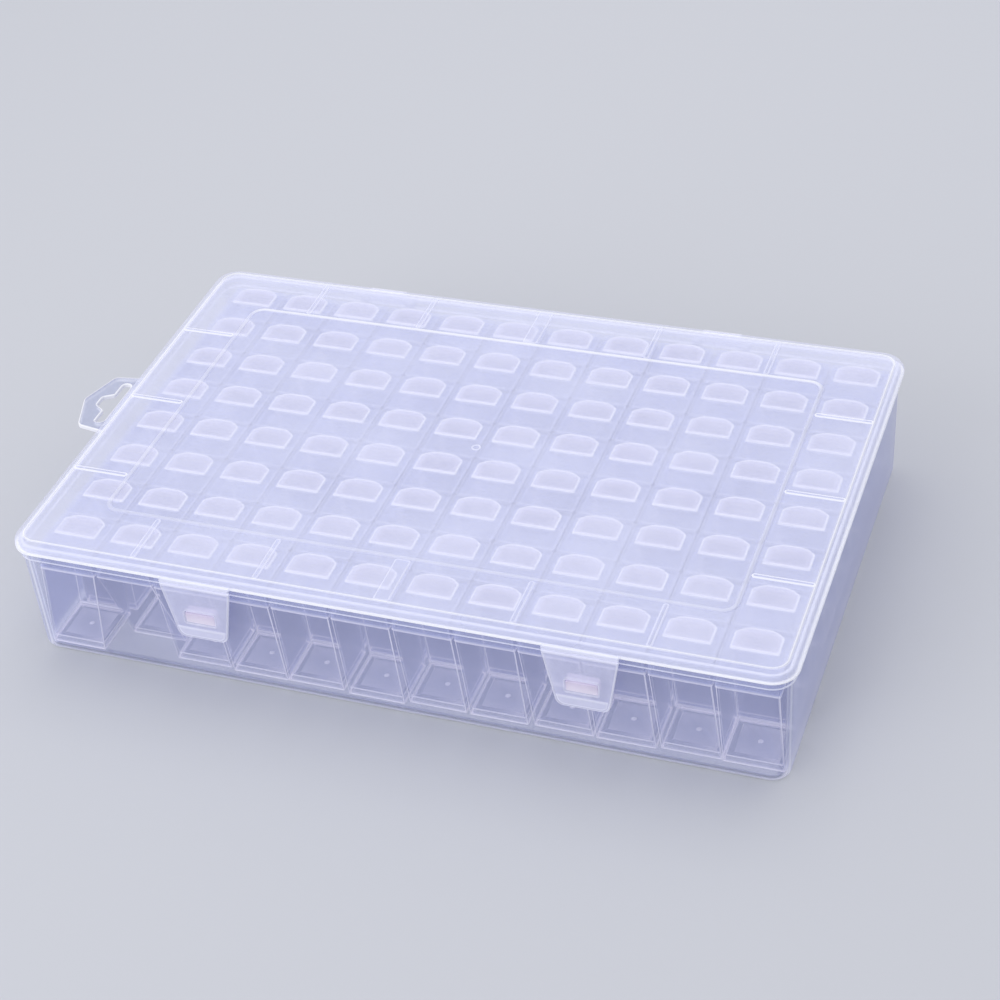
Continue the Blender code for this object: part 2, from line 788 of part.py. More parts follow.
latch_left_x, latch_right_x = either_side(LATCH_SPACING, LATCH_OFFSET)
build_latch("latch_left", latch_left_x)
build_latch("latch_right", latch_right_x)

for jar_column in range(JAR_COLUMNS):
    build_cup_column(jar_column)
    build_cap_column(jar_column)
for jar_row in range(JAR_ROWS):
    build_flap_row(jar_row)
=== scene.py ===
"""Looks of a flat hinged case of milky polypropylene, filled with rows of small square jars.

Everything is in metres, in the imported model's own frame: +X to the right, +Y to the hinges, +Z up.
The sections follow the case as it is put together: tray, lid, latches, jars, then the studio.
"""

import math

import bmesh
import bpy
import numpy as np
from mathutils import Matrix, Vector


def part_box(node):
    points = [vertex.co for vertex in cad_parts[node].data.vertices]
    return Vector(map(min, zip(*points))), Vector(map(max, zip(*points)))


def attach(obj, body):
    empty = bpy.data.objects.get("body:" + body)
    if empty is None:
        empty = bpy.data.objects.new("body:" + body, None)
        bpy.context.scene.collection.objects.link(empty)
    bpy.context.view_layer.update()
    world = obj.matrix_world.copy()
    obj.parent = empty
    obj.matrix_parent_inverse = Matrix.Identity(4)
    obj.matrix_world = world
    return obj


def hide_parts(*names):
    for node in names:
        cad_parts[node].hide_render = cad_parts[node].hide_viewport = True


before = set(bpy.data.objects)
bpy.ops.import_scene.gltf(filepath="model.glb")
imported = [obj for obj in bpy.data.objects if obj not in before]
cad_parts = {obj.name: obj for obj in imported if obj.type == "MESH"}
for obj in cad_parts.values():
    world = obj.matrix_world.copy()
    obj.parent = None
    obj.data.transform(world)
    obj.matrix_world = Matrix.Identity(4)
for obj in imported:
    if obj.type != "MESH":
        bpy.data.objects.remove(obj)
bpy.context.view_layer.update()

# Tray
# The open lower half of the case, injection moulded in one piece from milky polypropylene:
# drafted walls, a flange under the lid's skirt, and a lip that the skirt goes over.

MM = 0.001
CASE_WIDTH = 335 * MM
CASE_DEPTH = 220 * MM
CASE_CORNER = 11 * MM
CORNER_STEPS = 10
WALL_TOP_INSET = 2.4 * MM
WALL_DRAFT = 0.8 * MM
TRAY_WALL = 1.6 * MM
TRAY_FLOOR = 1.6 * MM
FOOT_RADIUS = 3 * MM
FLANGE_INSET = 1.4 * MM
FLANGE_LOW = 50.7 * MM
FLANGE_HIGH = 54.3 * MM
LIP_HIGH = 57.1 * MM
FILLET = 0.3 * MM
LEAST_RADIUS = 0.2 * MM
GLOW = 0.6 * MM
SHARP_ANGLE = 35
TRAY_CORNER_PLACE = 0.8
TRAY_CORNER_LINE = 0.08
TRAY_CORNER_GLOW = 0.6
# What all the milky plastics share: gloss, clouds, grain, shade, and the glow that stands in for the
# light lost where walls lie behind one another.
PLASTIC_IOR = 1.49
SCHLICK_POWER = 5
CLOUD_DEPTH = 0.15
CLOUD_RANGE = (0.3, 0.7)
GLOSS_SPREAD = 0.06
GRAIN_STRENGTH = 0.05
GRAIN_SLOPE = 1 / 8
SHADOW_SHARE = 0.12
LAST_DEEP = 6
LAST_MILK = 0.8
DEEP_LIGHT = 0.06
DEEP_EDGE_LIGHT = 0.28


def linear(colour):
    """Turns an sRGB hex colour into linear red, green, blue and full alpha."""
    shares = [int(colour[place:place + 2], 16) / 255 for place in (1, 3, 5)]
    return (*[s / 12.92 if s <= 0.04045 else ((s + 0.055) / 1.055) ** 2.4 for s in shares], 1)


def add(tree, kind, values=(), links=(), **settings):
    """Adds one shader node, with its settings, its inputs' values and the links into it."""
    made = tree.nodes.new(kind)
    for name, value in settings.items():
        setattr(made, name, value)
    for name, value in dict(values).items():
        made.inputs[name].default_value = value
    for name, source in dict(links).items():
        tree.links.new(source, made.inputs[name])
    return made


def milky_plastic(name, colour, edge_highlight_colour, milk, edge_milk, roughness, cloud, grain, slant_milk=1):
    """Thin moulded plastic with a milky body that lets part of the light through.

    A wall is clearest where it is looked at flat, and denser along its edges, which carry a painted
    highlight: there its colour turns to the whiter edge colour, standing in for the light that runs
    inside the wall and comes out at its edges. The attribute "edge" is 1 there, and below 0 where
    the plastic is thin. Seen at a slant its gloss hides more, by Schlick's share of the light:
    alpha = milk + (slant_milk - milk) * (1 - cosine of the slant) ** 5. Clouds of denser plastic and
    a fine moulded grain, both sized in metres, break up each face. Most of the light that the milk
    stops is only scattered onwards, so a wall shades much less than it hides. Light is followed
    through eight surfaces at most, so a wall that lies behind others gets back as a painted glow the
    light that it has lost, strongest along its edges, and the last one that can be seen hides most
    of what lies behind it.
    """
    material = bpy.data.materials.new(name)
    material.use_nodes = True
    tree = material.node_tree
    tree.nodes.clear()
    place = add(tree, "ShaderNodeTexCoord").outputs["Object"]
    edge = add(tree, "ShaderNodeAttribute", attribute_name="edge").outputs["Fac"]
    clouds = add(tree, "ShaderNodeTexNoise", {"Scale": 1 / cloud, "Detail": 3}, {"Vector": place})
    fine = add(tree, "ShaderNodeTexNoise", {"Scale": 1 / grain, "Detail": 2}, {"Vector": place})
    # Painted highlight: the colour turns from the plastic's own to the near-white edge highlight colour
    # where the attribute "edge" rises.
    tint_and_edge_highlight = add(
        tree, "ShaderNodeMix", {6: linear(colour), 7: linear(edge_highlight_colour)}, {0: edge}, data_type="RGBA"
    )
    body = add(
        tree, "ShaderNodeMapRange",
        {
            "From Min": CLOUD_RANGE[0], "From Max": CLOUD_RANGE[1],
            "To Min": milk * (1 - CLOUD_DEPTH), "To Max": milk * (1 + CLOUD_DEPTH),
        },
        {"Value": clouds.outputs["Fac"]},
    )
    alpha = add(
        tree, "ShaderNodeMapRange", {"To Max": edge_milk},
        {"Value": edge, "To Min": body.outputs["Result"]}, clamp=False,
    )
    slant = add(tree, "ShaderNodeLayerWeight", {"Blend": 0.5}).outputs["Facing"]
    gloss = add(tree, "ShaderNodeMath", {1: SCHLICK_POWER}, {0: slant}, operation="POWER")
    hidden = add(
        tree, "ShaderNodeMapRange", {"To Max": slant_milk},
        {"Value": gloss.outputs["Value"], "To Min": alpha.outputs["Result"]},
    )
    light = add(tree, "ShaderNodeLightPath")
    depth = light.outputs["Transparent Depth"]
    last = add(
        tree, "ShaderNodeMapRange",
        {"From Min": LAST_DEEP, "From Max": LAST_DEEP + 1, "To Max": LAST_MILK}, {"Value": depth},
    )
    seen = add(
        tree, "ShaderNodeMath", links={0: hidden.outputs["Result"], 1: last.outputs["Result"]},
        operation="MAXIMUM",
    )
    cast = add(
        tree, "ShaderNodeMapRange", {"To Min": 1, "To Max": SHADOW_SHARE},
        {"Value": light.outputs["Is Shadow Ray"]},
    )
    veil = add(
        tree, "ShaderNodeMath", links={0: seen.outputs["Value"], 1: cast.outputs["Result"]},
        operation="MULTIPLY",
    )
    # Painted glow: emission that stands in for the light lost behind other walls, stronger along the
    # highlighted edges.
    lost = add(
        tree, "ShaderNodeMapRange", {"To Min": DEEP_LIGHT, "To Max": DEEP_EDGE_LIGHT}, {"Value": edge}
    )
    painted_glow = add(
        tree, "ShaderNodeMapRange", {"From Max": LAST_DEEP},
        {"Value": depth, "To Max": lost.outputs["Result"]},
    )
    satin = add(
        tree, "ShaderNodeMapRange",
        {"To Min": roughness - GLOSS_SPREAD, "To Max": roughness + GLOSS_SPREAD},
        {"Value": fine.outputs["Fac"]},
    )
    bump = add(
        tree, "ShaderNodeBump", {"Strength": GRAIN_STRENGTH, "Distance": grain * GRAIN_SLOPE},
        {"Height": fine.outputs["Fac"]},
    )
    shader = add(
        tree, "ShaderNodeBsdfPrincipled", {"IOR": PLASTIC_IOR},
        {
            "Base Color": tint_and_edge_highlight.outputs[2],
            "Emission Color": tint_and_edge_highlight.outputs[2],
            "Emission Strength": painted_glow.outputs["Result"],
            "Alpha": veil.outputs["Value"],
            "Roughness": satin.outputs["Result"],
            "Normal": bump.outputs["Normal"],
        },
    )
    add(tree, "ShaderNodeOutputMaterial", links={"Surface": shader.outputs["BSDF"]})
    material.cycles.emission_sampling = "NONE"
    return material


def outline(corners, radii):
    """A closed flat outline whose corners are arcs: rows of point, outward normal, mitre and radius.

    The corners run counter-clockwise. Arc k has its centre on the bisector of corner k, at
    radius / sin(half the corner's angle). The mitre is how far a sharp corner moves for each metre
    that its two sides move in.
    """
    corners = np.array(corners, float)
    arcs = []
    for here, before, after, radius in zip(
        corners, np.roll(corners, 1, 0), np.roll(corners, -1, 0), radii
    ):
        back = (before - here) / np.linalg.norm(before - here)
        on = (after - here) / np.linalg.norm(after - here)
        half = math.acos(np.clip(back @ on, -1, 1)) / 2
        bisector = (back + on) / np.linalg.norm(back + on)
        mitre = bisector / math.sin(half)
        side = 1 if on[0] * back[1] - on[1] * back[0] > 0 else -1
        middle = math.atan2(*(-bisector)[::-1])
        turn = middle + side * (math.pi / 2 - half) * np.linspace(-1, 1, CORNER_STEPS + 1)
        ray = np.stack([np.cos(turn), np.sin(turn)], 1)
        room = radius if side > 0 else CASE_CORNER
        arcs.append(np.column_stack([
            here + radius * (mitre + ray), side * ray,
            np.tile([*mitre, room], (CORNER_STEPS + 1, 1)),
        ]))
    return np.concatenate(arcs)


def box_outline(half_x, half_y, radius, middle=(0, 0)):
    """A rectangle's outline with round corners, centred on middle."""
    signs = np.array([(1, -1), (1, 1), (-1, 1), (-1, -1)], float)
    return outline(signs * (half_x, half_y) + middle, [radius] * 4)


def rings(path, profile):
    """Sweeps a profile round an outline: ring i is moved in by the profile's inset, at its height.

    Where the inset would use up a corner's arc, the arc keeps the least radius and moves in along
    the corner's mitre, so a ring never crosses itself.
    """
    points, normals, mitres, radius = np.split(path[None], [2, 4, 6], 2)
    inset, height = np.array(profile, float).T[:2, :, None, None]
    over = np.maximum(inset - np.maximum(radius - LEAST_RADIUS, 0), 0)
    flat = points - (inset - over) * normals + over * mitres
    return np.concatenate([flat, np.broadcast_to(height, (*flat.shape[:2], 1))], 2)


def glow_of(profile, around=(-1,)):
    """How bright each point is as an edge: the profile's third value, or the one around if brighter."""
    return np.maximum(np.array(profile, float)[:, 2, None], np.array(around)[None])


def corner_glow(shares, width, strength):
    """A painted highlight: a bright line that runs up each corner of a box, at that corner's share of
    its arc.

    The corners are right front, right back, left back and left front, each arc run counter-clockwise.
    Across the line the glow falls off as strength * exp(-(distance / width) squared), and it ends
    with the arc, so that the flat sides stay clear.
    """
    place = np.tile(np.linspace(0, 1, CORNER_STEPS + 1), 4)
    bright = strength * np.exp(-(((place - np.repeat(shares, CORNER_STEPS + 1)) / width) ** 2))
    return bright * ((place > 0) & (place < 1))


def skin(name, grids, glow, looped=False):
    """Makes a mesh from grids of points, each grid[i, j] with i across the wall and j round it.

    Each grid becomes its own closed shell: rings i and i + 1 are joined by quads, and the first and
    last ring are joined too (looped) or filled. The glow is stored as the attribute "edge".
    """
    verts, faces, glows, count = [], [], [], 0
    for grid, bright in zip(grids, glow):
        rows, columns = grid.shape[:2]
        index = count + np.arange(rows * columns).reshape(rows, columns)
        lower, upper = (index, np.roll(index, -1, 0)) if looped else (index[:-1], index[1:])
        quads = np.stack([lower, np.roll(lower, -1, 1), np.roll(upper, -1, 1), upper], 2)
        faces += quads.reshape(-1, 4).tolist()
        if not looped:
            faces += [index[0, ::-1].tolist(), index[-1].tolist()]
        verts.append(grid.reshape(-1, 3))
        glows.append(np.broadcast_to(bright, (rows, columns)).ravel())
        count += rows * columns
    mesh = bpy.data.meshes.new(name)
    mesh.from_pydata(np.concatenate(verts), [], faces)
    shape = bmesh.new()
    shape.from_mesh(mesh)
    bmesh.ops.recalc_face_normals(shape, faces=shape.faces)
    shape.to_mesh(mesh)
    shape.free()
    mesh.attributes.new("edge", "FLOAT", "POINT").data.foreach_set("value", np.concatenate(glows))
    mesh.shade_smooth()
    mesh.set_sharp_from_angle(angle=math.radians(SHARP_ANGLE))
    piece = bpy.data.objects.new(name, mesh)
    bpy.context.scene.collection.objects.link(piece)
    return piece


def finish_piece(piece, material, body, slot, *nodes):
    """Gives a piece its material, its body and the nodes it stands for. Its slot is not used."""
    piece.data.materials.append(material)
    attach(piece, body)
    if nodes:
        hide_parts(*nodes)


def wall_inset(height):
    """How far the tray's outside stands in from the lid's outline at a height."""
    return WALL_TOP_INSET + WALL_DRAFT * (1 - height / FLANGE_LOW)


case_half = (CASE_WIDTH / 2, CASE_DEPTH / 2)
foot_inset = wall_inset(FOOT_RADIUS)
inner_radius = FOOT_RADIUS - TRAY_WALL
tray_profile = [
    (foot_inset + FOOT_RADIUS + GLOW, 0, 0),
    *[(foot_inset + FOOT_RADIUS * (1 - math.sin(a)), FOOT_RADIUS * (1 - math.cos(a)), g)
      for a, g in zip(np.linspace(0, math.pi / 2, 7), (0.5, 1, 1, 1, 0.5, 0.1, 0))],
    (wall_inset(FLANGE_LOW - GLOW), FLANGE_LOW - GLOW, 0),
    (WALL_TOP_INSET, FLANGE_LOW, 0.6),
    (FLANGE_INSET + FILLET, FLANGE_LOW, 0.9),
    (FLANGE_INSET, FLANGE_LOW + FILLET, 0.9),
    (FLANGE_INSET, FLANGE_LOW + FILLET + GLOW, 0.1),
    (FLANGE_INSET, FLANGE_HIGH - FILLET - GLOW, 0.1),
    (FLANGE_INSET, FLANGE_HIGH - FILLET, 0.8),
    (FLANGE_INSET + FILLET, FLANGE_HIGH, 0.8),
    (WALL_TOP_INSET, FLANGE_HIGH, 0.2),
    (WALL_TOP_INSET, LIP_HIGH - FILLET, 0.3),
    (WALL_TOP_INSET + FILLET, LIP_HIGH, 0.8),
    (WALL_TOP_INSET + TRAY_WALL - FILLET, LIP_HIGH, 0.8),
    (WALL_TOP_INSET + TRAY_WALL, LIP_HIGH - FILLET, 0.3),
    (wall_inset(FLANGE_LOW) + TRAY_WALL, FLANGE_LOW, 0),
    *[(foot_inset + TRAY_WALL + inner_radius * (1 - math.cos(a)),
       TRAY_FLOOR + inner_radius * (1 - math.sin(a)), 0.1)
      for a in np.linspace(0, math.pi / 2, 5)],
    (foot_inset + FOOT_RADIUS + GLOW, TRAY_FLOOR, 0),
]
# Natural polypropylene moulded thin: nearly clear where it is looked at flat, so that the jars show
# through it, a lavender haze over them, and white lines where its edges gather the light.
TRAY_PLASTIC = milky_plastic(
    "milky_tray_polypropylene", "#C7CCEE", "#FCFCFF",
    milk=0.18, edge_milk=0.9, roughness=0.3, cloud=30 * MM, grain=0.5 * MM,
)
# Painted highlights: bright lines up the tray's four corners.
tray_corners = corner_glow((TRAY_CORNER_PLACE,) * 4, TRAY_CORNER_LINE, TRAY_CORNER_GLOW)
tray = skin(
    "tray_shell", [rings(box_outline(*case_half, CASE_CORNER), tray_profile)],
    [glow_of(tray_profile, tray_corners)],
)
finish_piece(tray, TRAY_PLASTIC, "case", "tray_polypropylene", "case_base")

# Hang tab
# A flat tab moulded with the flange on the left, with a slot for a display peg. Its cut edges carry
# a painted highlight, the brightest lines on it.

TAB_THICKNESS = 2 * MM
TAB_REACH = 21 * MM
TAB_SHOULDER_REACH = 14.5 * MM
TAB_HALF_WIDTH = 21.5 * MM
TAB_SHOULDER_HALF_WIDTH = 19 * MM
TAB_CORNER = 3.5 * MM
SLOT_BRIDGE = 3.8 * MM
SLOT_WIDTH = 4.4 * MM
SLOT_LENGTH = 30 * MM
SLOT_CORNER = 2.1 * MM
BUMP_REACH = 5 * MM
BUMP_ROOT = 12 * MM
BUMP_TIP = 6 * MM
HOLE_POINTS = 220
RAY_FINENESS = 8


def along(path, count=HOLE_POINTS):
    """The same outline at evenly spaced places: each column of it read off its length."""
    closed = np.vstack([path, path[:1]])
    run = np.r_[0, np.cumsum(np.linalg.norm(np.diff(closed[:, :2], axis=0), axis=1))]
    at = np.linspace(0, run[-1], count, endpoint=False)
    return np.stack([np.interp(at, run, column) for column in closed.T], 1)


def seen_from(path, centre, targets):
    """The outline where rays from the centre to the targets cross it, read off its polar angle."""
    path = along(path, RAY_FINENESS * HOLE_POINTS)
    angle = np.arctan2(*(path[:, :2] - centre).T[::-1])
    wanted = np.arctan2(*(targets - centre).T[::-1])
    order = np.argsort(angle)
    read = [np.interp(wanted, angle[order], column, period=2 * math.pi) for column in path[order].T]
    return np.stack(read, 1)


def pierced_plate(outer, hole, centre, low, high, edge=1, hole_edge=1):
    """A flat plate with a hole: rings down its rim, in under it, up the hole's wall and back on top.

    The rim's points are those that lie behind the hole's as seen from the centre.
    """
    hole = along(hole)
    outer = seen_from(outer, np.array(centre), hole[:, :2])
    rim = [
        (FILLET + GLOW, high, 0), (FILLET, high, edge), (0, high - FILLET, edge),
        (0, low + FILLET, edge), (FILLET, low, edge), (FILLET + GLOW, low, 0),
    ]
    bore = [
        (-FILLET - GLOW, low, 0), (-FILLET, low, hole_edge), (0, low + FILLET, hole_edge),
        (0, high - FILLET, hole_edge), (-FILLET, high, hole_edge), (-FILLET - GLOW, high, 0),
    ]
    return np.concatenate([rings(outer, rim), rings(hole, bore)]), glow_of(rim + bore)


tab_side = -CASE_WIDTH / 2 + FLANGE_INSET
tab_shoulder = -CASE_WIDTH / 2 - TAB_SHOULDER_REACH
slot_near = -CASE_WIDTH / 2 - SLOT_BRIDGE
slot_far = slot_near - SLOT_WIDTH
tab_outline = outline(
    [
        (tab_side, -TAB_HALF_WIDTH), (tab_side, TAB_HALF_WIDTH),
        (tab_shoulder, TAB_SHOULDER_HALF_WIDTH), (-CASE_WIDTH / 2 - TAB_REACH, 0),
        (tab_shoulder, -TAB_SHOULDER_HALF_WIDTH),
    ],
    [FILLET, FILLET, TAB_CORNER, TAB_CORNER, TAB_CORNER],
)
slot_outline = outline(
    [
        (slot_near, -SLOT_LENGTH / 2), (slot_near, SLOT_LENGTH / 2),
        (slot_far, SLOT_LENGTH / 2), (slot_far, BUMP_ROOT / 2),
        (slot_far - BUMP_REACH, BUMP_TIP / 2), (slot_far - BUMP_REACH, -BUMP_TIP / 2),
        (slot_far, -BUMP_ROOT / 2), (slot_far, -SLOT_LENGTH / 2),
    ],
    [SLOT_CORNER, SLOT_CORNER, SLOT_CORNER, SLOT_CORNER / 2] * 2,
)
tab_middle = (FLANGE_LOW + FLANGE_HIGH) / 2
tab_grid, tab_glow = pierced_plate(
    tab_outline, slot_outline, ((slot_near + slot_far) / 2, 0),
    tab_middle - TAB_THICKNESS / 2, tab_middle + TAB_THICKNESS / 2,
)
tab = skin("hang_tab", [tab_grid], [tab_glow], looped=True)
# The same polypropylene, thicker: a grey-blue body that hides half of what is behind it, with a
# white painted highlight along its cut edges.
TAB_PLASTIC = milky_plastic(
    "milky_tab_polypropylene", "#B6BCD8", "#FCFCFF",
    milk=0.45, edge_milk=0.95, roughness=0.3, cloud=12 * MM, grain=0.5 * MM,
)
finish_piece(tab, TAB_PLASTIC, "case", "tray_polypropylene")

# Hinge ears, pins and catches
# Small bosses moulded on the tray's walls: at the back two pairs of ears with a pin between them,
# in front the two wedges that the latches snap over.

HINGE_SPACING = 164 * MM
HINGE_PLACE = (111 * MM, 51 * MM)
BARREL_RADIUS = 2 * MM
PIN_RADIUS = 1 * MM
EYE_LENGTH = 18 * MM
EAR_LENGTH = 4 * MM
EAR_GAP = 0.4 * MM
EAR_FOOT = 5 * MM
LATCH_PLACES = (-80 * MM, 84 * MM)
CATCH_WIDTH = 13.2 * MM
CATCH_LOW = 34.7 * MM
CATCH_HIGH = 40.45 * MM
CATCH_REACH = 111.3 * MM
CATCH_SLOPE = 1 * MM
# Strengths of the painted highlight lines along the edges of the hinge bosses, pins and eyes, and of the
# catches.
BOSS_GLOW = 0.5
CATCH_GLOW = 0.1


def bar(path, start, end, edge, around=(-1,)):
    """A solid bar along X with filleted ends: the outline is its section in Y and Z."""
    profile = [
        (FILLET + GLOW, start, 0), (FILLET, start, edge), (0, start + FILLET, edge),
        (0, end - FILLET, edge), (FILLET, end, edge), (FILLET + GLOW, end, 0),
    ]
    grid = rings(path, profile)[:, :, [2, 0, 1]]
    return grid, np.broadcast_to(glow_of(profile, around), grid.shape[:2])


def round_path(centre, radius):
    """A circle's outline about a centre."""
    turn = np.linspace(0, 2 * math.pi, 4 * CORNER_STEPS, endpoint=False)
    ray = np.stack([np.cos(turn), np.sin(turn)], 1)
    return np.column_stack([centre + radius * ray, ray, 0 * ray, np.full(len(ray), radius)])


hinge_y, hinge_z = HINGE_PLACE
back_wall = CASE_DEPTH / 2 - WALL_TOP_INSET - FILLET
ear_path = outline(
    [
        (back_wall, hinge_z - BARREL_RADIUS - EAR_FOOT),
        (hinge_y + BARREL_RADIUS, hinge_z - BARREL_RADIUS),
        (hinge_y + BARREL_RADIUS, hinge_z + BARREL_RADIUS), (back_wall, hinge_z + BARREL_RADIUS),
    ],
    [FILLET, BARREL_RADIUS / 2, BARREL_RADIUS, FILLET],
)
front_wall = wall_inset(CATCH_LOW) - CASE_DEPTH / 2 + FILLET
catch_path = outline(
    [
        (front_wall, CATCH_HIGH), (-CATCH_REACH, CATCH_HIGH - CATCH_SLOPE),
        (-CATCH_REACH, CATCH_LOW), (front_wall, CATCH_LOW),
    ],
    [FILLET, FILLET, FILLET, FILLET],
)
eye_half = EYE_LENGTH / 2 + EAR_GAP
boss_bars = []
for x in (-HINGE_SPACING / 2, HINGE_SPACING / 2):
    boss_bars.append(bar(ear_path, x - eye_half - EAR_LENGTH, x - eye_half, BOSS_GLOW))
    boss_bars.append(bar(ear_path, x + eye_half, x + eye_half + EAR_LENGTH, BOSS_GLOW))
bosses = skin("hinge_ears", *zip(*boss_bars))
finish_piece(bosses, TAB_PLASTIC, "case", "tray_polypropylene")
pins = skin("hinge_pins", *zip(*[
    bar(round_path(HINGE_PLACE, PIN_RADIUS), x - eye_half, x + eye_half, BOSS_GLOW)
    for x in (-HINGE_SPACING / 2, HINGE_SPACING / 2)
]))
finish_piece(pins, TAB_PLASTIC, "case", "tray_polypropylene")
catch_edge = np.repeat([0, 0, 1, 0], CORNER_STEPS + 1)
catches = skin("catches", *zip(*[
    bar(catch_path, x - CATCH_WIDTH / 2, x + CATCH_WIDTH / 2, CATCH_GLOW, catch_edge)
    for x in LATCH_PLACES
]))
# The thick end of the tray's moulding: a faint pinkish patch in each latch's window.
CATCH_PLASTIC = milky_plastic(
    "milky_catch_polypropylene", "#EADFF2", "#F8F2FD",
    milk=0.62, edge_milk=0.68, roughness=0.25, cloud=12 * MM, grain=0.5 * MM,
)
finish_piece(catches, CATCH_PLASTIC, "case", "tray_polypropylene")

# Lid
# A shallow lid moulded from the same plastic, milkier than the tray: its skirt goes down over the
# tray's lip, a low ridge runs round its edge, and a raised bead frames its panel.

LID_TOP = 59.4 * MM
LID_UNDER = 57.8 * MM
LID_WALL = 1.6 * MM
SKIRT_LOW = 54.6 * MM
UNDER_RUN = 6 * MM
UNDER_TURN = 1 * MM
THIN_EDGE = -0.15
LID_EDGE_RADIUS = 3.4 * MM
RIDGE_INSET = 4 * MM
RIDGE_WIDTH = 0.9 * MM
RIDGE_HEIGHT = 0.3 * MM
BEAD_SIDE_MARGIN = 30 * MM
BEAD_FRONT_MARGIN = 30.4 * MM
BEAD_RADIUS = 7 * MM
BEAD_WIDTH = 2.2 * MM
BEAD_HEIGHT = 0.6 * MM
BEAD_GLOW = 0.3
BEAD_BACK_HIGHLIGHT = 1.8

lid_profile = [
    (LID_WALL + UNDER_RUN, LID_UNDER, 0),
    (LID_WALL + UNDER_TURN, LID_UNDER, 0),
    (LID_WALL + FILLET, LID_UNDER - FILLET, 0),
    (LID_WALL, LID_UNDER - UNDER_TURN, 0),
    (LID_WALL, SKIRT_LOW + FILLET + GLOW / 2, 0.1),
    (LID_WALL, SKIRT_LOW + FILLET, 0.7),
    (LID_WALL - FILLET, SKIRT_LOW, 1),
    (FILLET, SKIRT_LOW, 1),
    (0, SKIRT_LOW + FILLET, 1),
    (0, SKIRT_LOW + FILLET + GLOW / 2, 0.9),
    (0, SKIRT_LOW + FILLET + GLOW, THIN_EDGE),
    *[(LID_EDGE_RADIUS * (1 - math.cos(a)), LID_TOP - LID_EDGE_RADIUS * (1 - math.sin(a)), THIN_EDGE)
      for a in np.linspace(0, math.pi / 2, 9)],
    (RIDGE_INSET, LID_TOP, 0.4),
    (RIDGE_INSET + RIDGE_HEIGHT, LID_TOP + RIDGE_HEIGHT, 0.8),
    (RIDGE_INSET + RIDGE_WIDTH - RIDGE_HEIGHT, LID_TOP + RIDGE_HEIGHT, 0.8),
    (RIDGE_INSET + RIDGE_WIDTH, LID_TOP, 0.4),
    (RIDGE_INSET + RIDGE_WIDTH + GLOW, LID_TOP, 0),
]
bead_profile = [
    (-GLOW, LID_TOP, 0),
    *[(BEAD_WIDTH / 2 * (1 - math.cos(a)), LID_TOP + BEAD_HEIGHT * math.sin(a), BEAD_GLOW * math.sin(a))
      for a in np.linspace(0, math.pi, 9)],
    (BEAD_WIDTH + GLOW, LID_TOP, 0),
]
bead_half = (CASE_WIDTH / 2 - BEAD_SIDE_MARGIN, CASE_DEPTH / 2 - BEAD_FRONT_MARGIN)
bead_path = box_outline(*bead_half, BEAD_RADIUS)
lid_grid = np.concatenate([
    rings(box_outline(*case_half, CASE_CORNER), lid_profile), rings(bead_path, bead_profile),
])
# Painted highlight: the bead's lines are brightest where its outward normal points to the back, the side
# that catches the light.
bead_glow = glow_of(bead_profile) * (1 + BEAD_BACK_HIGHLIGHT * np.maximum(bead_path[:, 3], 0))
lid_glow = np.concatenate([glow_of(lid_profile, -np.ones(len(bead_path))), bead_glow])
# The same polypropylene with a satin face: paler and milkier than the tray, so that the caps under it
# look soft, with slow clouds over the panel and painted highlight lines at the skirt, ridge and bead.
LID_PLASTIC = milky_plastic(
    "milky_lid_polypropylene", "#E9EBFD", "#FFFFFF",
    milk=0.37, edge_milk=0.88, roughness=0.38, cloud=45 * MM, grain=0.4 * MM,
)
lid = skin("lid_shell", [lid_grid], [lid_glow])
finish_piece(lid, LID_PLASTIC, "lid", "lid_polypropylene", "case_lid")

# Lid's ribs
# Low flat ribs moulded with the lid, which cross its margin from the bead to the ridge: five in front
# and at the back, the middle one wide, and three on each side. Painted highlights make them read as
# pairs of pale lines.

RIB_HEIGHT = 0.4 * MM
RIB_WIDTH = 2.6 * MM
RIB_WIDTH_CENTRE = 7 * MM
RIB_PITCH = 55 * MM
RIB_END_INSET = RIDGE_INSET + RIDGE_WIDTH / 2
RIB_SINK = 0.05 * MM
RIB_LINE = 0.7 * MM
RIB_CLEAR = -0.6
RIB_FRONT_GLOW = 0.3

rib_profile = [
    (RIB_LINE, LID_TOP - RIB_SINK, RIB_CLEAR), (0, LID_TOP - RIB_SINK, 0.3),
    (0, LID_TOP + RIB_HEIGHT / 2, 0.8), (FILLET, LID_TOP + RIB_HEIGHT, 0.8),
    (RIB_LINE, LID_TOP + RIB_HEIGHT, 0.6), (RIB_LINE + FILLET, LID_TOP + RIB_HEIGHT, RIB_CLEAR),
]
rib_spans = []
for place in (-2, -1, 0, 1, 2):
    half = (RIB_WIDTH if place else RIB_WIDTH_CENTRE) / 2
    for side in (-1, 1):
        ends = (side * bead_half[1], side * (case_half[1] - RIB_END_INSET))
        across = (place * RIB_PITCH - half, place * RIB_PITCH + half)
        rib_spans.append((*across, min(ends), max(ends), RIB_FRONT_GLOW))
for place in (-1, 0, 1):
    half = RIB_WIDTH / 2
    for side in (-1, 1):
        ends = (side * bead_half[0], side * (case_half[0] - RIB_END_INSET))
        across = (place * RIB_PITCH - half, place * RIB_PITCH + half)
        rib_spans.append((min(ends), max(ends), *across, 1))
rib_grids = [
    rings(
        box_outline(
            (right - left) / 2, (back - front) / 2, RIB_WIDTH / 2,
            ((left + right) / 2, (front + back) / 2),
        ),
        rib_profile,
    )
    for left, right, front, back, _ in rib_spans
]
rib_glow = glow_of(rib_profile)
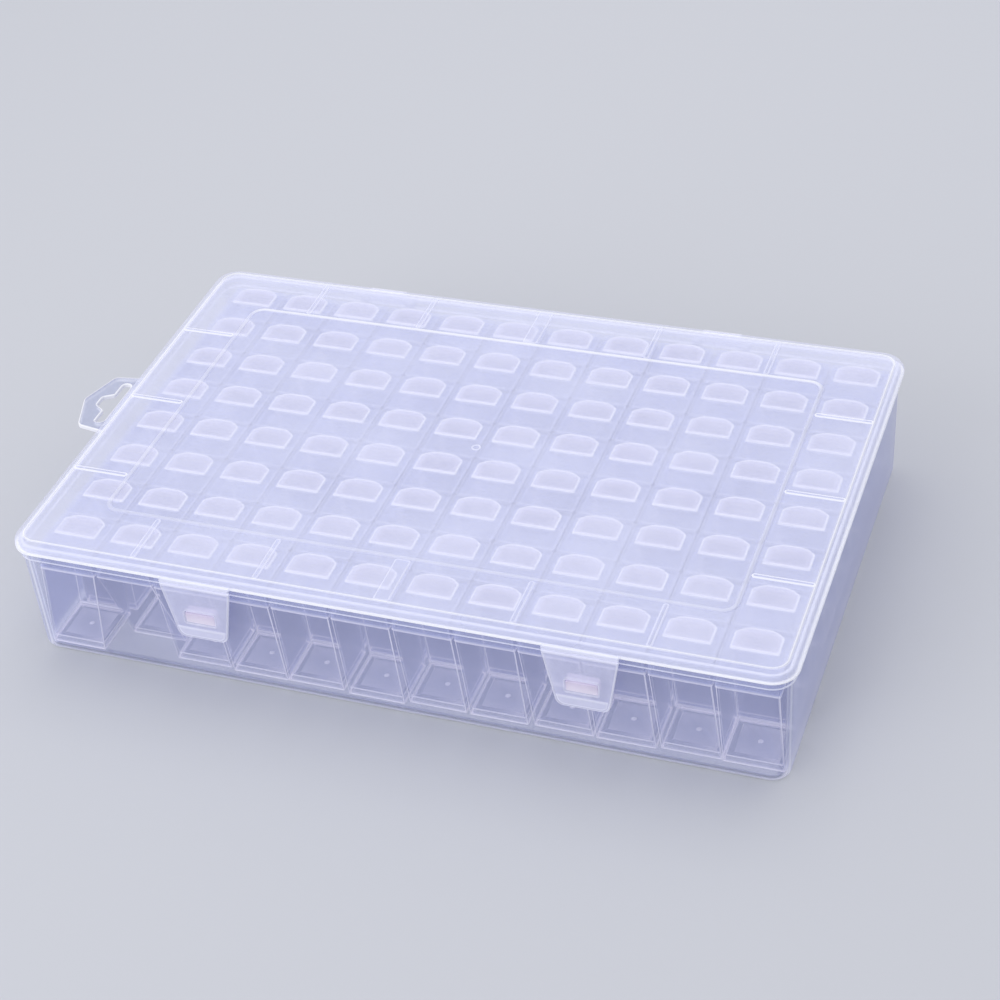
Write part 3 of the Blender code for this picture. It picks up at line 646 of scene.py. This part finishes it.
# A share dims only the painted highlight lines, weaker on the front and back ribs than on the side ones:
# where the rib is clear it stays as clear.
rib_glows = [np.minimum(rib_glow, rib_glow * share) for *_, share in rib_spans]
ribs = skin("margin_ribs", rib_grids, rib_glows)
finish_piece(ribs, LID_PLASTIC, "lid", "lid_polypropylene")

# Lid's gate mark, hinge eyes and latch ledges
# The scar where the plastic entered the mould, the eyes that go round the tray's pins, and the
# ledges under which the latches hang, all part of the lid's moulding.

GATE_PLACE = (3 * MM, -1 * MM)
GATE_RADIUS = 2.1 * MM
GATE_BEAD = 0.4 * MM
GATE_GLOW = 0.25
EYE_BORE = 1.4 * MM
NECK_HIGH = 57 * MM
NECK_SLOPE = 1 * MM
LEDGE_LOW = 54.6 * MM
LEDGE_HIGH = 55.6 * MM
LEDGE_SLOPE = 0.6 * MM
LEDGE_GLOW = 0.2
LEDGE_WIDTH = 31.4 * MM
LATCH_FRONT = 111.7 * MM

# Painted highlight: the gate mark's ring is whiter by GATE_GLOW.
gate_profile = [
    (GATE_BEAD * (1 - math.cos(a)), LID_TOP + GATE_BEAD / 2 * math.sin(a), GATE_GLOW)
    for a in np.linspace(0, 2 * math.pi, 8, endpoint=False)
]
gate = skin(
    "gate_mark", [rings(round_path(GATE_PLACE, GATE_RADIUS), gate_profile)], [glow_of(gate_profile)],
    looped=True,
)
finish_piece(gate, LID_PLASTIC, "lid", "lid_polypropylene")

eye_outline = outline(
    [
        (hinge_y - BARREL_RADIUS, NECK_HIGH), (hinge_y - BARREL_RADIUS, hinge_z - BARREL_RADIUS),
        (hinge_y + BARREL_RADIUS, hinge_z - BARREL_RADIUS),
        (hinge_y + BARREL_RADIUS, NECK_HIGH - NECK_SLOPE), (hinge_y, NECK_HIGH),
    ],
    [FILLET, BARREL_RADIUS, BARREL_RADIUS, FILLET, FILLET],
)
eyes = []
for x in (-HINGE_SPACING / 2, HINGE_SPACING / 2):
    grid, glow = pierced_plate(
        eye_outline, round_path(HINGE_PLACE, EYE_BORE), HINGE_PLACE,
        x - EYE_LENGTH / 2, x + EYE_LENGTH / 2, BOSS_GLOW, BOSS_GLOW,
    )
    eyes.append((grid[:, :, [2, 0, 1]], glow))
finish_piece(skin("hinge_eyes", *zip(*eyes), looped=True), LID_PLASTIC, "lid", "lid_polypropylene")

ledge_path = outline(
    [
        (-CASE_DEPTH / 2 + FILLET, LEDGE_LOW), (-CASE_DEPTH / 2 + FILLET, LEDGE_HIGH + LEDGE_SLOPE),
        (-LATCH_FRONT, LEDGE_HIGH), (-LATCH_FRONT, LEDGE_LOW),
    ],
    [FILLET] * 4,
)
ledges = skin("latch_ledges", *zip(*[
    bar(ledge_path, x - LEDGE_WIDTH / 2, x + LEDGE_WIDTH / 2, LEDGE_GLOW) for x in LATCH_PLACES
]))
finish_piece(ledges, LID_PLASTIC, "lid", "lid_polypropylene")

# Latches
# Two tapering flaps of the same plastic that hang from the lid's ledges on a thin roll. Each has a
# window that snaps over a catch and a thicker lip at its lower edge to pull at.

LATCH_AXIS = (-111.05 * MM, 53.55 * MM)
LATCH_ROLL = 0.75 * MM
LATCH_PLATE = 1.3 * MM
LATCH_DROP = 27 * MM
LATCH_TOP_WIDTH = 31.4 * MM
LATCH_BOTTOM_WIDTH = 21.4 * MM
LATCH_CORNER = 3.5 * MM
LIP_DROP = 21 * MM
LIP_MARGIN = 0.7 * MM
LIP_REACH = 0.3 * MM
LIP_SLOPE = 1.4 * MM
WINDOW_WIDTH = 13.4 * MM
WINDOW_HEIGHT = 6 * MM
WINDOW_DROP = 13 * MM
WINDOW_CORNER = 0.6 * MM
WINDOW_GLOW = 0.35
PLATE_GLOW = 0.55
ROLL_GLOW = 0.25


def latch_half(drop):
    """Half the latch's width at a distance below its axis."""
    return (LATCH_TOP_WIDTH + (LATCH_BOTTOM_WIDTH - LATCH_TOP_WIDTH) * drop / LATCH_DROP) / 2


def upright(grid):
    """Stands a flat grid up against the front: its Y becomes height, its height comes forward."""
    return grid[:, :, [0, 2, 1]] * (1, -1, 1)


# The lid's polypropylene, smoother: a pale plate that stands out against the clearer tray behind it,
# with a soft white painted highlight along its rim.
LATCH_PLASTIC = milky_plastic(
    "milky_latch_polypropylene", "#E2E3FA", "#FFFFFF",
    milk=0.36, edge_milk=0.9, roughness=0.3, cloud=12 * MM, grain=0.4 * MM,
)
axis_y, axis_z = LATCH_AXIS
latch_back = -axis_y - LATCH_PLATE / 2
for side, x in zip(("left", "right"), LATCH_PLACES):
    plate = outline(
        [
            (x + latch_half(0), axis_z), (x - latch_half(0), axis_z),
            (x - latch_half(LATCH_DROP), axis_z - LATCH_DROP),
            (x + latch_half(LATCH_DROP), axis_z - LATCH_DROP),
        ],
        [FILLET, FILLET, LATCH_CORNER, LATCH_CORNER],
    )
    window_high = axis_z - WINDOW_DROP
    window = outline(
        [
            (x + WINDOW_WIDTH / 2, window_high), (x - WINDOW_WIDTH / 2, window_high),
            (x - WINDOW_WIDTH / 2, window_high - WINDOW_HEIGHT),
            (x + WINDOW_WIDTH / 2, window_high - WINDOW_HEIGHT),
        ],
        [WINDOW_CORNER] * 4,
    )
    centre = (x, window_high - WINDOW_HEIGHT / 2)
    plate_grid, plate_glow = pierced_plate(
        plate, window, centre, latch_back, latch_back + LATCH_PLATE, PLATE_GLOW, WINDOW_GLOW
    )
    lip_low = axis_z - LATCH_DROP + LIP_MARGIN
    lip = outline(
        [
            (x + latch_half(LIP_DROP) - LIP_MARGIN, axis_z - LIP_DROP),
            (x - latch_half(LIP_DROP) + LIP_MARGIN, axis_z - LIP_DROP),
            (x - latch_half(LATCH_DROP) + LIP_MARGIN, lip_low),
            (x + latch_half(LATCH_DROP) - LIP_MARGIN, lip_low),
        ],
        [FILLET, FILLET, LATCH_CORNER, LATCH_CORNER],
    )
    lip_root = latch_back + LATCH_PLATE - LIP_REACH / 2
    lip_face = latch_back + LATCH_PLATE + LIP_REACH
    lip_profile = [
        (GLOW, lip_root, 0), (0, lip_root, 0.1), (LIP_REACH, lip_root + LIP_REACH / 2, 0.4),
        (LIP_SLOPE / 2, (lip_root + 3 * lip_face) / 4, 0.5), (LIP_SLOPE, lip_face, 0.25),
    ]
    roll_grid, roll_glow = bar(
        round_path(LATCH_AXIS, LATCH_ROLL), x - LATCH_TOP_WIDTH / 2, x + LATCH_TOP_WIDTH / 2, ROLL_GLOW
    )
    node, body = "latch_" + side, side + "_latch"
    latch = skin(node + "_plate", [upright(plate_grid)], [plate_glow], looped=True)
    finish_piece(latch, LATCH_PLASTIC, body, "latch_polypropylene", node)
    lip_piece = skin(node + "_lip", [upright(rings(lip, lip_profile))], [glow_of(lip_profile)])
    finish_piece(lip_piece, LATCH_PLASTIC, body, "latch_polypropylene")
    roll = skin(node + "_roll", [roll_grid], [roll_glow])
    finish_piece(roll, LATCH_PLASTIC, body, "latch_polypropylene")

# Jar cups
# Small square jars of clear plastic, moulded very thin and tapering downwards, each on a low foot
# ring. They stand loose in the tray, so each leans and turns a little its own way.

COLUMNS = 12
ROWS = 8
JAR_SPACE = 0.5 * MM
JAR_CORNER = 1.2 * MM
CUP_CORNER = 1 * MM
JAR_FLOOR = 1.9 * MM
CUP_WALL = 0.9 * MM
CUP_BOTTOM_INSET = 0.5 * MM
CUP_TOP_INSET = 0.35 * MM
CUP_SHOULDER_INSET = 0.1 * MM
CUP_SHOULDER = 42.9 * MM
FOOT_HEIGHT = 1.2 * MM
CUP_FLOOR = 1.3 * MM
FLOOR_RUN = 3 * MM
NECK_INSET = 1.2 * MM
NECK_TOP = 51.6 * MM
PIP_RADIUS = 0.8 * MM
PIP_HEIGHT = 0.4 * MM
CUP_CORNER_PLACES = (0.4, 0.5, 0.5, 0.8)
CUP_CORNER_LINE = 0.35
JAR_SEED = 12
JAR_TURN = 0.4
# How far the foot of each front jar stands to the right of its cap and behind it, in millimetres, as
# the photo's lines through the front wall show; a jar behind leans less by LEAN_LOSS a row.
FRONT_LEAN = (-2.2, 3.0, 2.9, 3.2, 1.8, 2.8, 2.8, 2.7, 3.7, 3.2, 3.3, 1.9)
FRONT_SETBACK = (-1.2, 12.5, 2.0, 0.8, 1.0, -0.2, 1.3, 0.9, 1.3, 0.9, 1.8, 1.2)
LEAN_LOSS = 1.5
BACK_LEAN = 0.5

loose = np.random.default_rng(JAR_SEED)
jar_places = []
for column in range(COLUMNS):
    low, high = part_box("jar_caps_column_" + str(column + 1))
    pitch_y = (high[1] - low[1]) / ROWS
    for row in range(ROWS):
        lean = loose.uniform(-BACK_LEAN, BACK_LEAN, 2)
        lean = np.maximum(lean, (
            FRONT_LEAN[column] - LEAN_LOSS * row, FRONT_SETBACK[column] - LEAN_LOSS * row
        ))
        if row == 0:
            lean = (FRONT_LEAN[column], FRONT_SETBACK[column])
        jar_places.append({
            "column": column, "row": row,
            "x": (low[0] + high[0]) / 2, "y": low[1] + (row + 0.5) * pitch_y,
            "turn": math.radians(loose.uniform(-JAR_TURN, JAR_TURN)),
            "lean": np.array(lean) * MM,
        })
# All columns are alike, so the last one gives the size of a cap.
half_x = (high[0] - low[0]) / 2
half_y = (pitch_y - JAR_SPACE) / 2
cap_low, cap_high = low[2], high[2]


def placed(grid, jar):
    """Turns a grid about its middle, leans it by a shear that grows downwards, and moves it in place."""
    cos, sin = math.cos(jar["turn"]), math.sin(jar["turn"])
    x, y, z = np.moveaxis(grid, 2, 0)
    share = np.clip((cap_low - z) / (cap_low - JAR_FLOOR), 0, 1)
    return np.stack([
        jar["x"] + cos * x - sin * y + jar["lean"][0] * share,
        jar["y"] + sin * x + cos * y + jar["lean"][1] * share,
        z,
    ], 2)


floor_under = JAR_FLOOR + FOOT_HEIGHT
floor_top = floor_under + CUP_FLOOR
cup_profile = [
    (CUP_BOTTOM_INSET + FLOOR_RUN, floor_under, 0),
    (CUP_BOTTOM_INSET + CUP_WALL, floor_under, 0.1),
    (CUP_BOTTOM_INSET + CUP_WALL, JAR_FLOOR + FILLET, 0.6),
    (CUP_BOTTOM_INSET + CUP_WALL - FILLET, JAR_FLOOR, 1),
    (CUP_BOTTOM_INSET + FILLET, JAR_FLOOR, 1),
    (CUP_BOTTOM_INSET, JAR_FLOOR + FILLET, 1),
    (CUP_BOTTOM_INSET, JAR_FLOOR + FILLET + GLOW, 0.9),
    (CUP_BOTTOM_INSET, JAR_FLOOR + FILLET + 1.5 * GLOW, 0.1),
    (CUP_TOP_INSET, CUP_SHOULDER - CUP_WALL - FILLET, 0),
    (CUP_SHOULDER_INSET + FILLET, CUP_SHOULDER - CUP_WALL, 0.6),
    (CUP_SHOULDER_INSET, CUP_SHOULDER - CUP_WALL + FILLET, 0.8),
    (CUP_SHOULDER_INSET, CUP_SHOULDER - FILLET, 0.8),
    (CUP_SHOULDER_INSET + FILLET, CUP_SHOULDER, 0.6),
    (NECK_INSET, CUP_SHOULDER, 0),
    (NECK_INSET, NECK_TOP - FILLET, 0),
    (NECK_INSET + FILLET, NECK_TOP, 0.6),
    (NECK_INSET + CUP_WALL - FILLET, NECK_TOP, 0.6),
    (NECK_INSET + CUP_WALL, NECK_TOP - FILLET, 0),
    (NECK_INSET + CUP_WALL, CUP_SHOULDER - CUP_WALL, 0),
    (CUP_TOP_INSET + CUP_WALL, CUP_SHOULDER - 2 * CUP_WALL, 0),
    (CUP_BOTTOM_INSET + CUP_WALL, floor_top + FILLET + 1.5 * GLOW, 0.05),
    (CUP_BOTTOM_INSET + CUP_WALL, floor_top + FILLET + GLOW, 0.8),
    (CUP_BOTTOM_INSET + CUP_WALL, floor_top + FILLET, 1),
    (CUP_BOTTOM_INSET + CUP_WALL + FILLET, floor_top, 1),
    (CUP_BOTTOM_INSET + CUP_WALL + FILLET + GLOW / 2, floor_top, 0.1),
    (CUP_BOTTOM_INSET + CUP_WALL + FLOOR_RUN, floor_top, 0),
]
cup_grid = rings(box_outline(half_x, half_y, CUP_CORNER), cup_profile)
# Painted highlights: bright lines up each cup's corners, at a different place on each corner's arc.
cup_glow = glow_of(cup_profile, corner_glow(CUP_CORNER_PLACES, CUP_CORNER_LINE, 1))
pip_profile = [
    (-PIP_HEIGHT, floor_top, 0.8), (0, floor_top + PIP_HEIGHT / 2, 1),
    (PIP_RADIUS / 2, floor_top + PIP_HEIGHT, 1),
]
pip_grid = rings(round_path((0, 0), PIP_RADIUS), pip_profile)
# Clear polystyrene: its faces all but vanish, and the jar is read from the thin pinkish-white painted
# highlight lines of its corners, foot ring, floor and shoulder.
CUP_PLASTIC = milky_plastic(
    "clear_cup_polystyrene", "#CFD3F0", "#FFFAFF",
    milk=0.08, edge_milk=0.95, roughness=0.15, cloud=20 * MM, grain=0.5 * MM, slant_milk=0.2,
)
for column in range(COLUMNS):
    jars = [jar for jar in jar_places if jar["column"] == column]
    node = "jar_cups_column_" + str(column + 1)
    cups = skin(
        "cups_" + str(column + 1), [placed(cup_grid, jar) for jar in jars], [cup_glow] * ROWS
    )
    finish_piece(cups, CUP_PLASTIC, "case", "cup_polystyrene", node)
pips = skin(
    "cup_gate_marks", [placed(pip_grid, jar) for jar in jar_places],
    [glow_of(pip_profile)] * len(jar_places),
)
finish_piece(pips, CUP_PLASTIC, "case", "cup_polystyrene")

# Jar caps
# Each jar has a milky cap that snaps over its neck, with a round-cornered mouth under the back
# half of its top.

CAP_PLATE = 1 * MM
CAP_WALL = 0.9 * MM
CAP_EDGE_RADIUS = 0.4 * MM
CAP_UNDER_RUN = 1.5 * MM
CAP_SIDE_GLOW = -0.4
MOUTH_WIDTH = 16.4 * MM
MOUTH_DEPTH = 10.4 * MM
MOUTH_BACK_MARGIN = 2.4 * MM
MOUTH_CORNER = 2 * MM

mouth_middle = half_y - MOUTH_BACK_MARGIN - MOUTH_DEPTH / 2
cap_under = cap_high - CAP_PLATE
# Painted highlights: pale lines at the cap's foot, top edge and mouth; its sides are left clearer and
# keep the plastic's own colour.
cap_profile = [
    (CAP_WALL + CAP_UNDER_RUN, cap_under, 0),
    (CAP_WALL, cap_under - FILLET, 0),
    (CAP_WALL, cap_low + FILLET, -0.2),
    (CAP_WALL - FILLET, cap_low, 0.4),
    (FILLET, cap_low, 0.6),
    (0, cap_low + FILLET, 0.6),
    (0, cap_low + FILLET + GLOW / 2, CAP_SIDE_GLOW),
    (0, cap_high - CAP_EDGE_RADIUS - GLOW, CAP_SIDE_GLOW),
    *[(CAP_EDGE_RADIUS * (1 - math.cos(a)), cap_high - CAP_EDGE_RADIUS * (1 - math.sin(a)), 0.3)
      for a in np.linspace(0, math.pi / 2, 4)],
    (CAP_EDGE_RADIUS + GLOW, cap_high, 0),
]
mouth_profile = [
    (-FILLET - GLOW, cap_high, 0), (-FILLET, cap_high, 0.5), (0, cap_high - FILLET, 0.5),
    (0, cap_under + FILLET, 0.5), (-FILLET, cap_under, 0.5), (-FILLET - GLOW, cap_under, 0),
]
cap_grid = np.concatenate([
    rings(box_outline(half_x, half_y, JAR_CORNER), cap_profile),
    rings(
        box_outline(MOUTH_WIDTH / 2, MOUTH_DEPTH / 2, MOUTH_CORNER, (0, mouth_middle)), mouth_profile
    ),
])
# The bluest plastic of the case: under the lid its bare front strips give the rows their blue stripes.
CAP_PLASTIC = milky_plastic(
    "milky_cap_polypropylene", "#C8D0F9", "#FDFCFF",
    milk=0.36, edge_milk=0.9, roughness=0.25, cloud=20 * MM, grain=0.5 * MM,
)
for column in range(COLUMNS):
    jars = [jar for jar in jar_places if jar["column"] == column]
    node = "jar_caps_column_" + str(column + 1)
    caps = skin(
        "caps_" + str(column + 1), [placed(cap_grid, jar) for jar in jars],
        [glow_of(cap_profile + mouth_profile)] * ROWS, looped=True,
    )
    finish_piece(caps, CAP_PLASTIC, "case", "cap_polypropylene", node)

# Jar flaps
# The flap over each mouth turns on a moulded hinge along its straight front edge. Its back edge is
# arched, a plug ring below it fits the mouth, and its top is bare.

FLAP_WIDTH = 19.4 * MM
FLAP_PLATE = 1 * MM
FLAP_SIDE_DEPTH = 10 * MM
FLAP_TIP_DEPTH = 13.6 * MM
FLAP_SHOULDER = 5.2 * MM
FLAP_SIDE_CORNER = 2 * MM
FLAP_ARCH_RADIUS = 8 * MM
FLAP_FACE_RUN = 3 * MM
FLAP_BACK_MARGIN = 0.6 * MM
FLAP_GAP = 0.3 * MM
HINGE_BEAD_WIDTH = 1 * MM
HINGE_BEAD_HEIGHT = 0.35 * MM
HINGE_BEAD_GLOW = 0.4
PLUG_GAP = 0.5 * MM
PLUG_WALL = 0.7 * MM
PLUG_DEPTH = 1.8 * MM

flap_front = half_y - FLAP_BACK_MARGIN - FLAP_TIP_DEPTH
flap_low = cap_high + FLAP_GAP
flap_high = flap_low + FLAP_PLATE
flap_path = outline(
    [
        (FLAP_WIDTH / 2, flap_front), (FLAP_WIDTH / 2, flap_front + FLAP_SIDE_DEPTH),
        (FLAP_SHOULDER, flap_front + FLAP_TIP_DEPTH - FLAP_GAP),
        (-FLAP_SHOULDER, flap_front + FLAP_TIP_DEPTH - FLAP_GAP),
        (-FLAP_WIDTH / 2, flap_front + FLAP_SIDE_DEPTH), (-FLAP_WIDTH / 2, flap_front),
    ],
    [
        FLAP_GAP, FLAP_SIDE_CORNER, FLAP_ARCH_RADIUS, FLAP_ARCH_RADIUS, FLAP_SIDE_CORNER, FLAP_GAP,
    ],
)
flap_profile = [
    (FLAP_FACE_RUN, flap_low, 0), (FILLET, flap_low, 0.2), (0, flap_low + FILLET, 1),
    (0, flap_high - FILLET, 1), (FILLET, flap_high, 1), (FILLET + GLOW / 2, flap_high, 0.7),
    (FILLET + GLOW, flap_high, 0), (FLAP_FACE_RUN, flap_high, 0),
]
hinge_bead_half = (FLAP_WIDTH / 2 - FILLET, HINGE_BEAD_WIDTH / 2)
hinge_bead_profile = [
    (FILLET, flap_high - FILLET / 2, 0.3), (0, flap_high - FILLET / 2, HINGE_BEAD_GLOW),
    (0, flap_high + FILLET / 2, HINGE_BEAD_GLOW),
    (FILLET, flap_high + HINGE_BEAD_HEIGHT, HINGE_BEAD_GLOW),
]
plug_profile = [
    (0, flap_low + FILLET, 0), (0, flap_low - PLUG_DEPTH, 0.1),
    (PLUG_WALL, flap_low - PLUG_DEPTH, 0.1), (PLUG_WALL, flap_low + FILLET, 0),
]
flap_grid = rings(flap_path, flap_profile)
hinge_bead_grid = rings(
    box_outline(*hinge_bead_half, HINGE_BEAD_WIDTH / 2, (0, flap_front + HINGE_BEAD_WIDTH / 2)),
    hinge_bead_profile,
)
plug_grid = rings(
    box_outline(
        MOUTH_WIDTH / 2 - PLUG_GAP, MOUTH_DEPTH / 2 - PLUG_GAP, MOUTH_CORNER, (0, mouth_middle)
    ),
    plug_profile,
)
# The palest plastic on the jars: each flap is a faint pinkish patch in a thin white painted highlight
# outline that still reads through the lid.
FLAP_PLASTIC = milky_plastic(
    "milky_flap_polypropylene", "#EAE7FB", "#FFFFFF",
    milk=0.34, edge_milk=1, roughness=0.25, cloud=8 * MM, grain=0.5 * MM,
)
for row in range(ROWS):
    jars = [jar for jar in jar_places if jar["row"] == row]
    number = str(row + 1)
    body = "flap_row_" + number
    flaps = skin(
        "flaps_" + number, [placed(flap_grid, jar) for jar in jars],
        [glow_of(flap_profile)] * COLUMNS,
    )
    finish_piece(flaps, FLAP_PLASTIC, body, "flap_polypropylene", "jar_flaps_row_" + number)
    beads = skin(
        "flap_hinge_beads_" + number, [placed(hinge_bead_grid, jar) for jar in jars],
        [glow_of(hinge_bead_profile)] * COLUMNS,
    )
    finish_piece(beads, FLAP_PLASTIC, body, "flap_polypropylene")
    plugs = skin(
        "flap_plugs_" + number, [placed(plug_grid, jar) for jar in jars],
        [glow_of(plug_profile)] * COLUMNS, looped=True,
    )
    finish_piece(plugs, FLAP_PLASTIC, body, "flap_polypropylene")

# Studio
# A pale floor under soft lamps, and the camera at the photograph's viewing angle.

FLOOR_HALF = 3.0
FLOOR_COLOUR = "#CBCDD3"
FLOOR_ROUGHNESS = 0.9
SKY_COLOUR = "#F4F5FA"
SKY_STRENGTH = 0.8
LAMP_SIZE = 1.2
# The camera fitted to the case's edges in the photo: its turn, rise and roll in degrees, its focal
# length in pixels, and the case's origin in its own axes (right, down, ahead).
CAMERA_TURN = (22.53, 37.81, 5.45)
CAMERA_FOCUS = 2219.4
CAMERA_SHIFT = np.array((-8.26, 23.18, 989.13)) * MM
FRAME_PIXELS = 1000
SENSOR = 36

floor_mesh = bpy.data.meshes.new("floor")
floor_mesh.from_pydata(
    [(-FLOOR_HALF, -FLOOR_HALF, 0), (FLOOR_HALF, -FLOOR_HALF, 0),
     (FLOOR_HALF, FLOOR_HALF, 0), (-FLOOR_HALF, FLOOR_HALF, 0)], [], [(0, 1, 2, 3)],
)
floor = bpy.data.objects.new("floor", floor_mesh)
bpy.context.scene.collection.objects.link(floor)
# Matt background paper: a plain pale grey with no gloss, so that the clear plastic stands out on it.
floor_paper = bpy.data.materials.new("matt_paper")
floor_paper.use_nodes = True
paper = floor_paper.node_tree.nodes["Principled BSDF"]
paper.inputs["Base Color"].default_value = linear(FLOOR_COLOUR)
paper.inputs["Roughness"].default_value = FLOOR_ROUGHNESS
floor_mesh.materials.append(floor_paper)

world = bpy.data.worlds.new("studio")
bpy.context.scene.world = world
world.use_nodes = True
world.node_tree.nodes["Background"].inputs["Color"].default_value = linear(SKY_COLOUR)
world.node_tree.nodes["Background"].inputs["Strength"].default_value = SKY_STRENGTH


def softbox(name, place, watts):
    """A square lamp that faces the middle of the case."""
    light = bpy.data.lights.new(name, "AREA")
    light.size = LAMP_SIZE
    light.energy = watts
    lamp = bpy.data.objects.new(name, light)
    lamp.location = place
    lamp.rotation_mode = "QUATERNION"
    lamp.rotation_quaternion = (-Vector(place)).to_track_quat("-Z", "Y")
    bpy.context.scene.collection.objects.link(lamp)


softbox("key", (0, 0.6, 1.4), watts=6)
softbox("front_fill", (-0.9, -1.4, 0.7), watts=10)

turn, rise, roll = (math.radians(angle) for angle in CAMERA_TURN)
back = Vector((math.sin(turn) * math.cos(rise), -math.cos(turn) * math.cos(rise), math.sin(rise)))
right = (-back).cross(Vector((0, 0, 1))).normalized()
down = (-back).cross(right)
across = math.cos(roll) * right + math.sin(roll) * down
below = -math.sin(roll) * right + math.cos(roll) * down
axes = np.array([across, below, -back])
camera_data = bpy.data.cameras.new("camera")
camera_data.sensor_width = SENSOR
camera_data.lens = CAMERA_FOCUS / FRAME_PIXELS * SENSOR
camera = bpy.data.objects.new("camera", camera_data)
spot = Vector(-axes.T @ CAMERA_SHIFT)
camera.matrix_world = Matrix.Translation(spot) @ Matrix(
    [(across[k], -below[k], back[k]) for k in range(3)]
).to_4x4()
bpy.context.scene.collection.objects.link(camera)
bpy.context.scene.camera = camera
bpy.context.scene.view_settings.view_transform = "Standard"
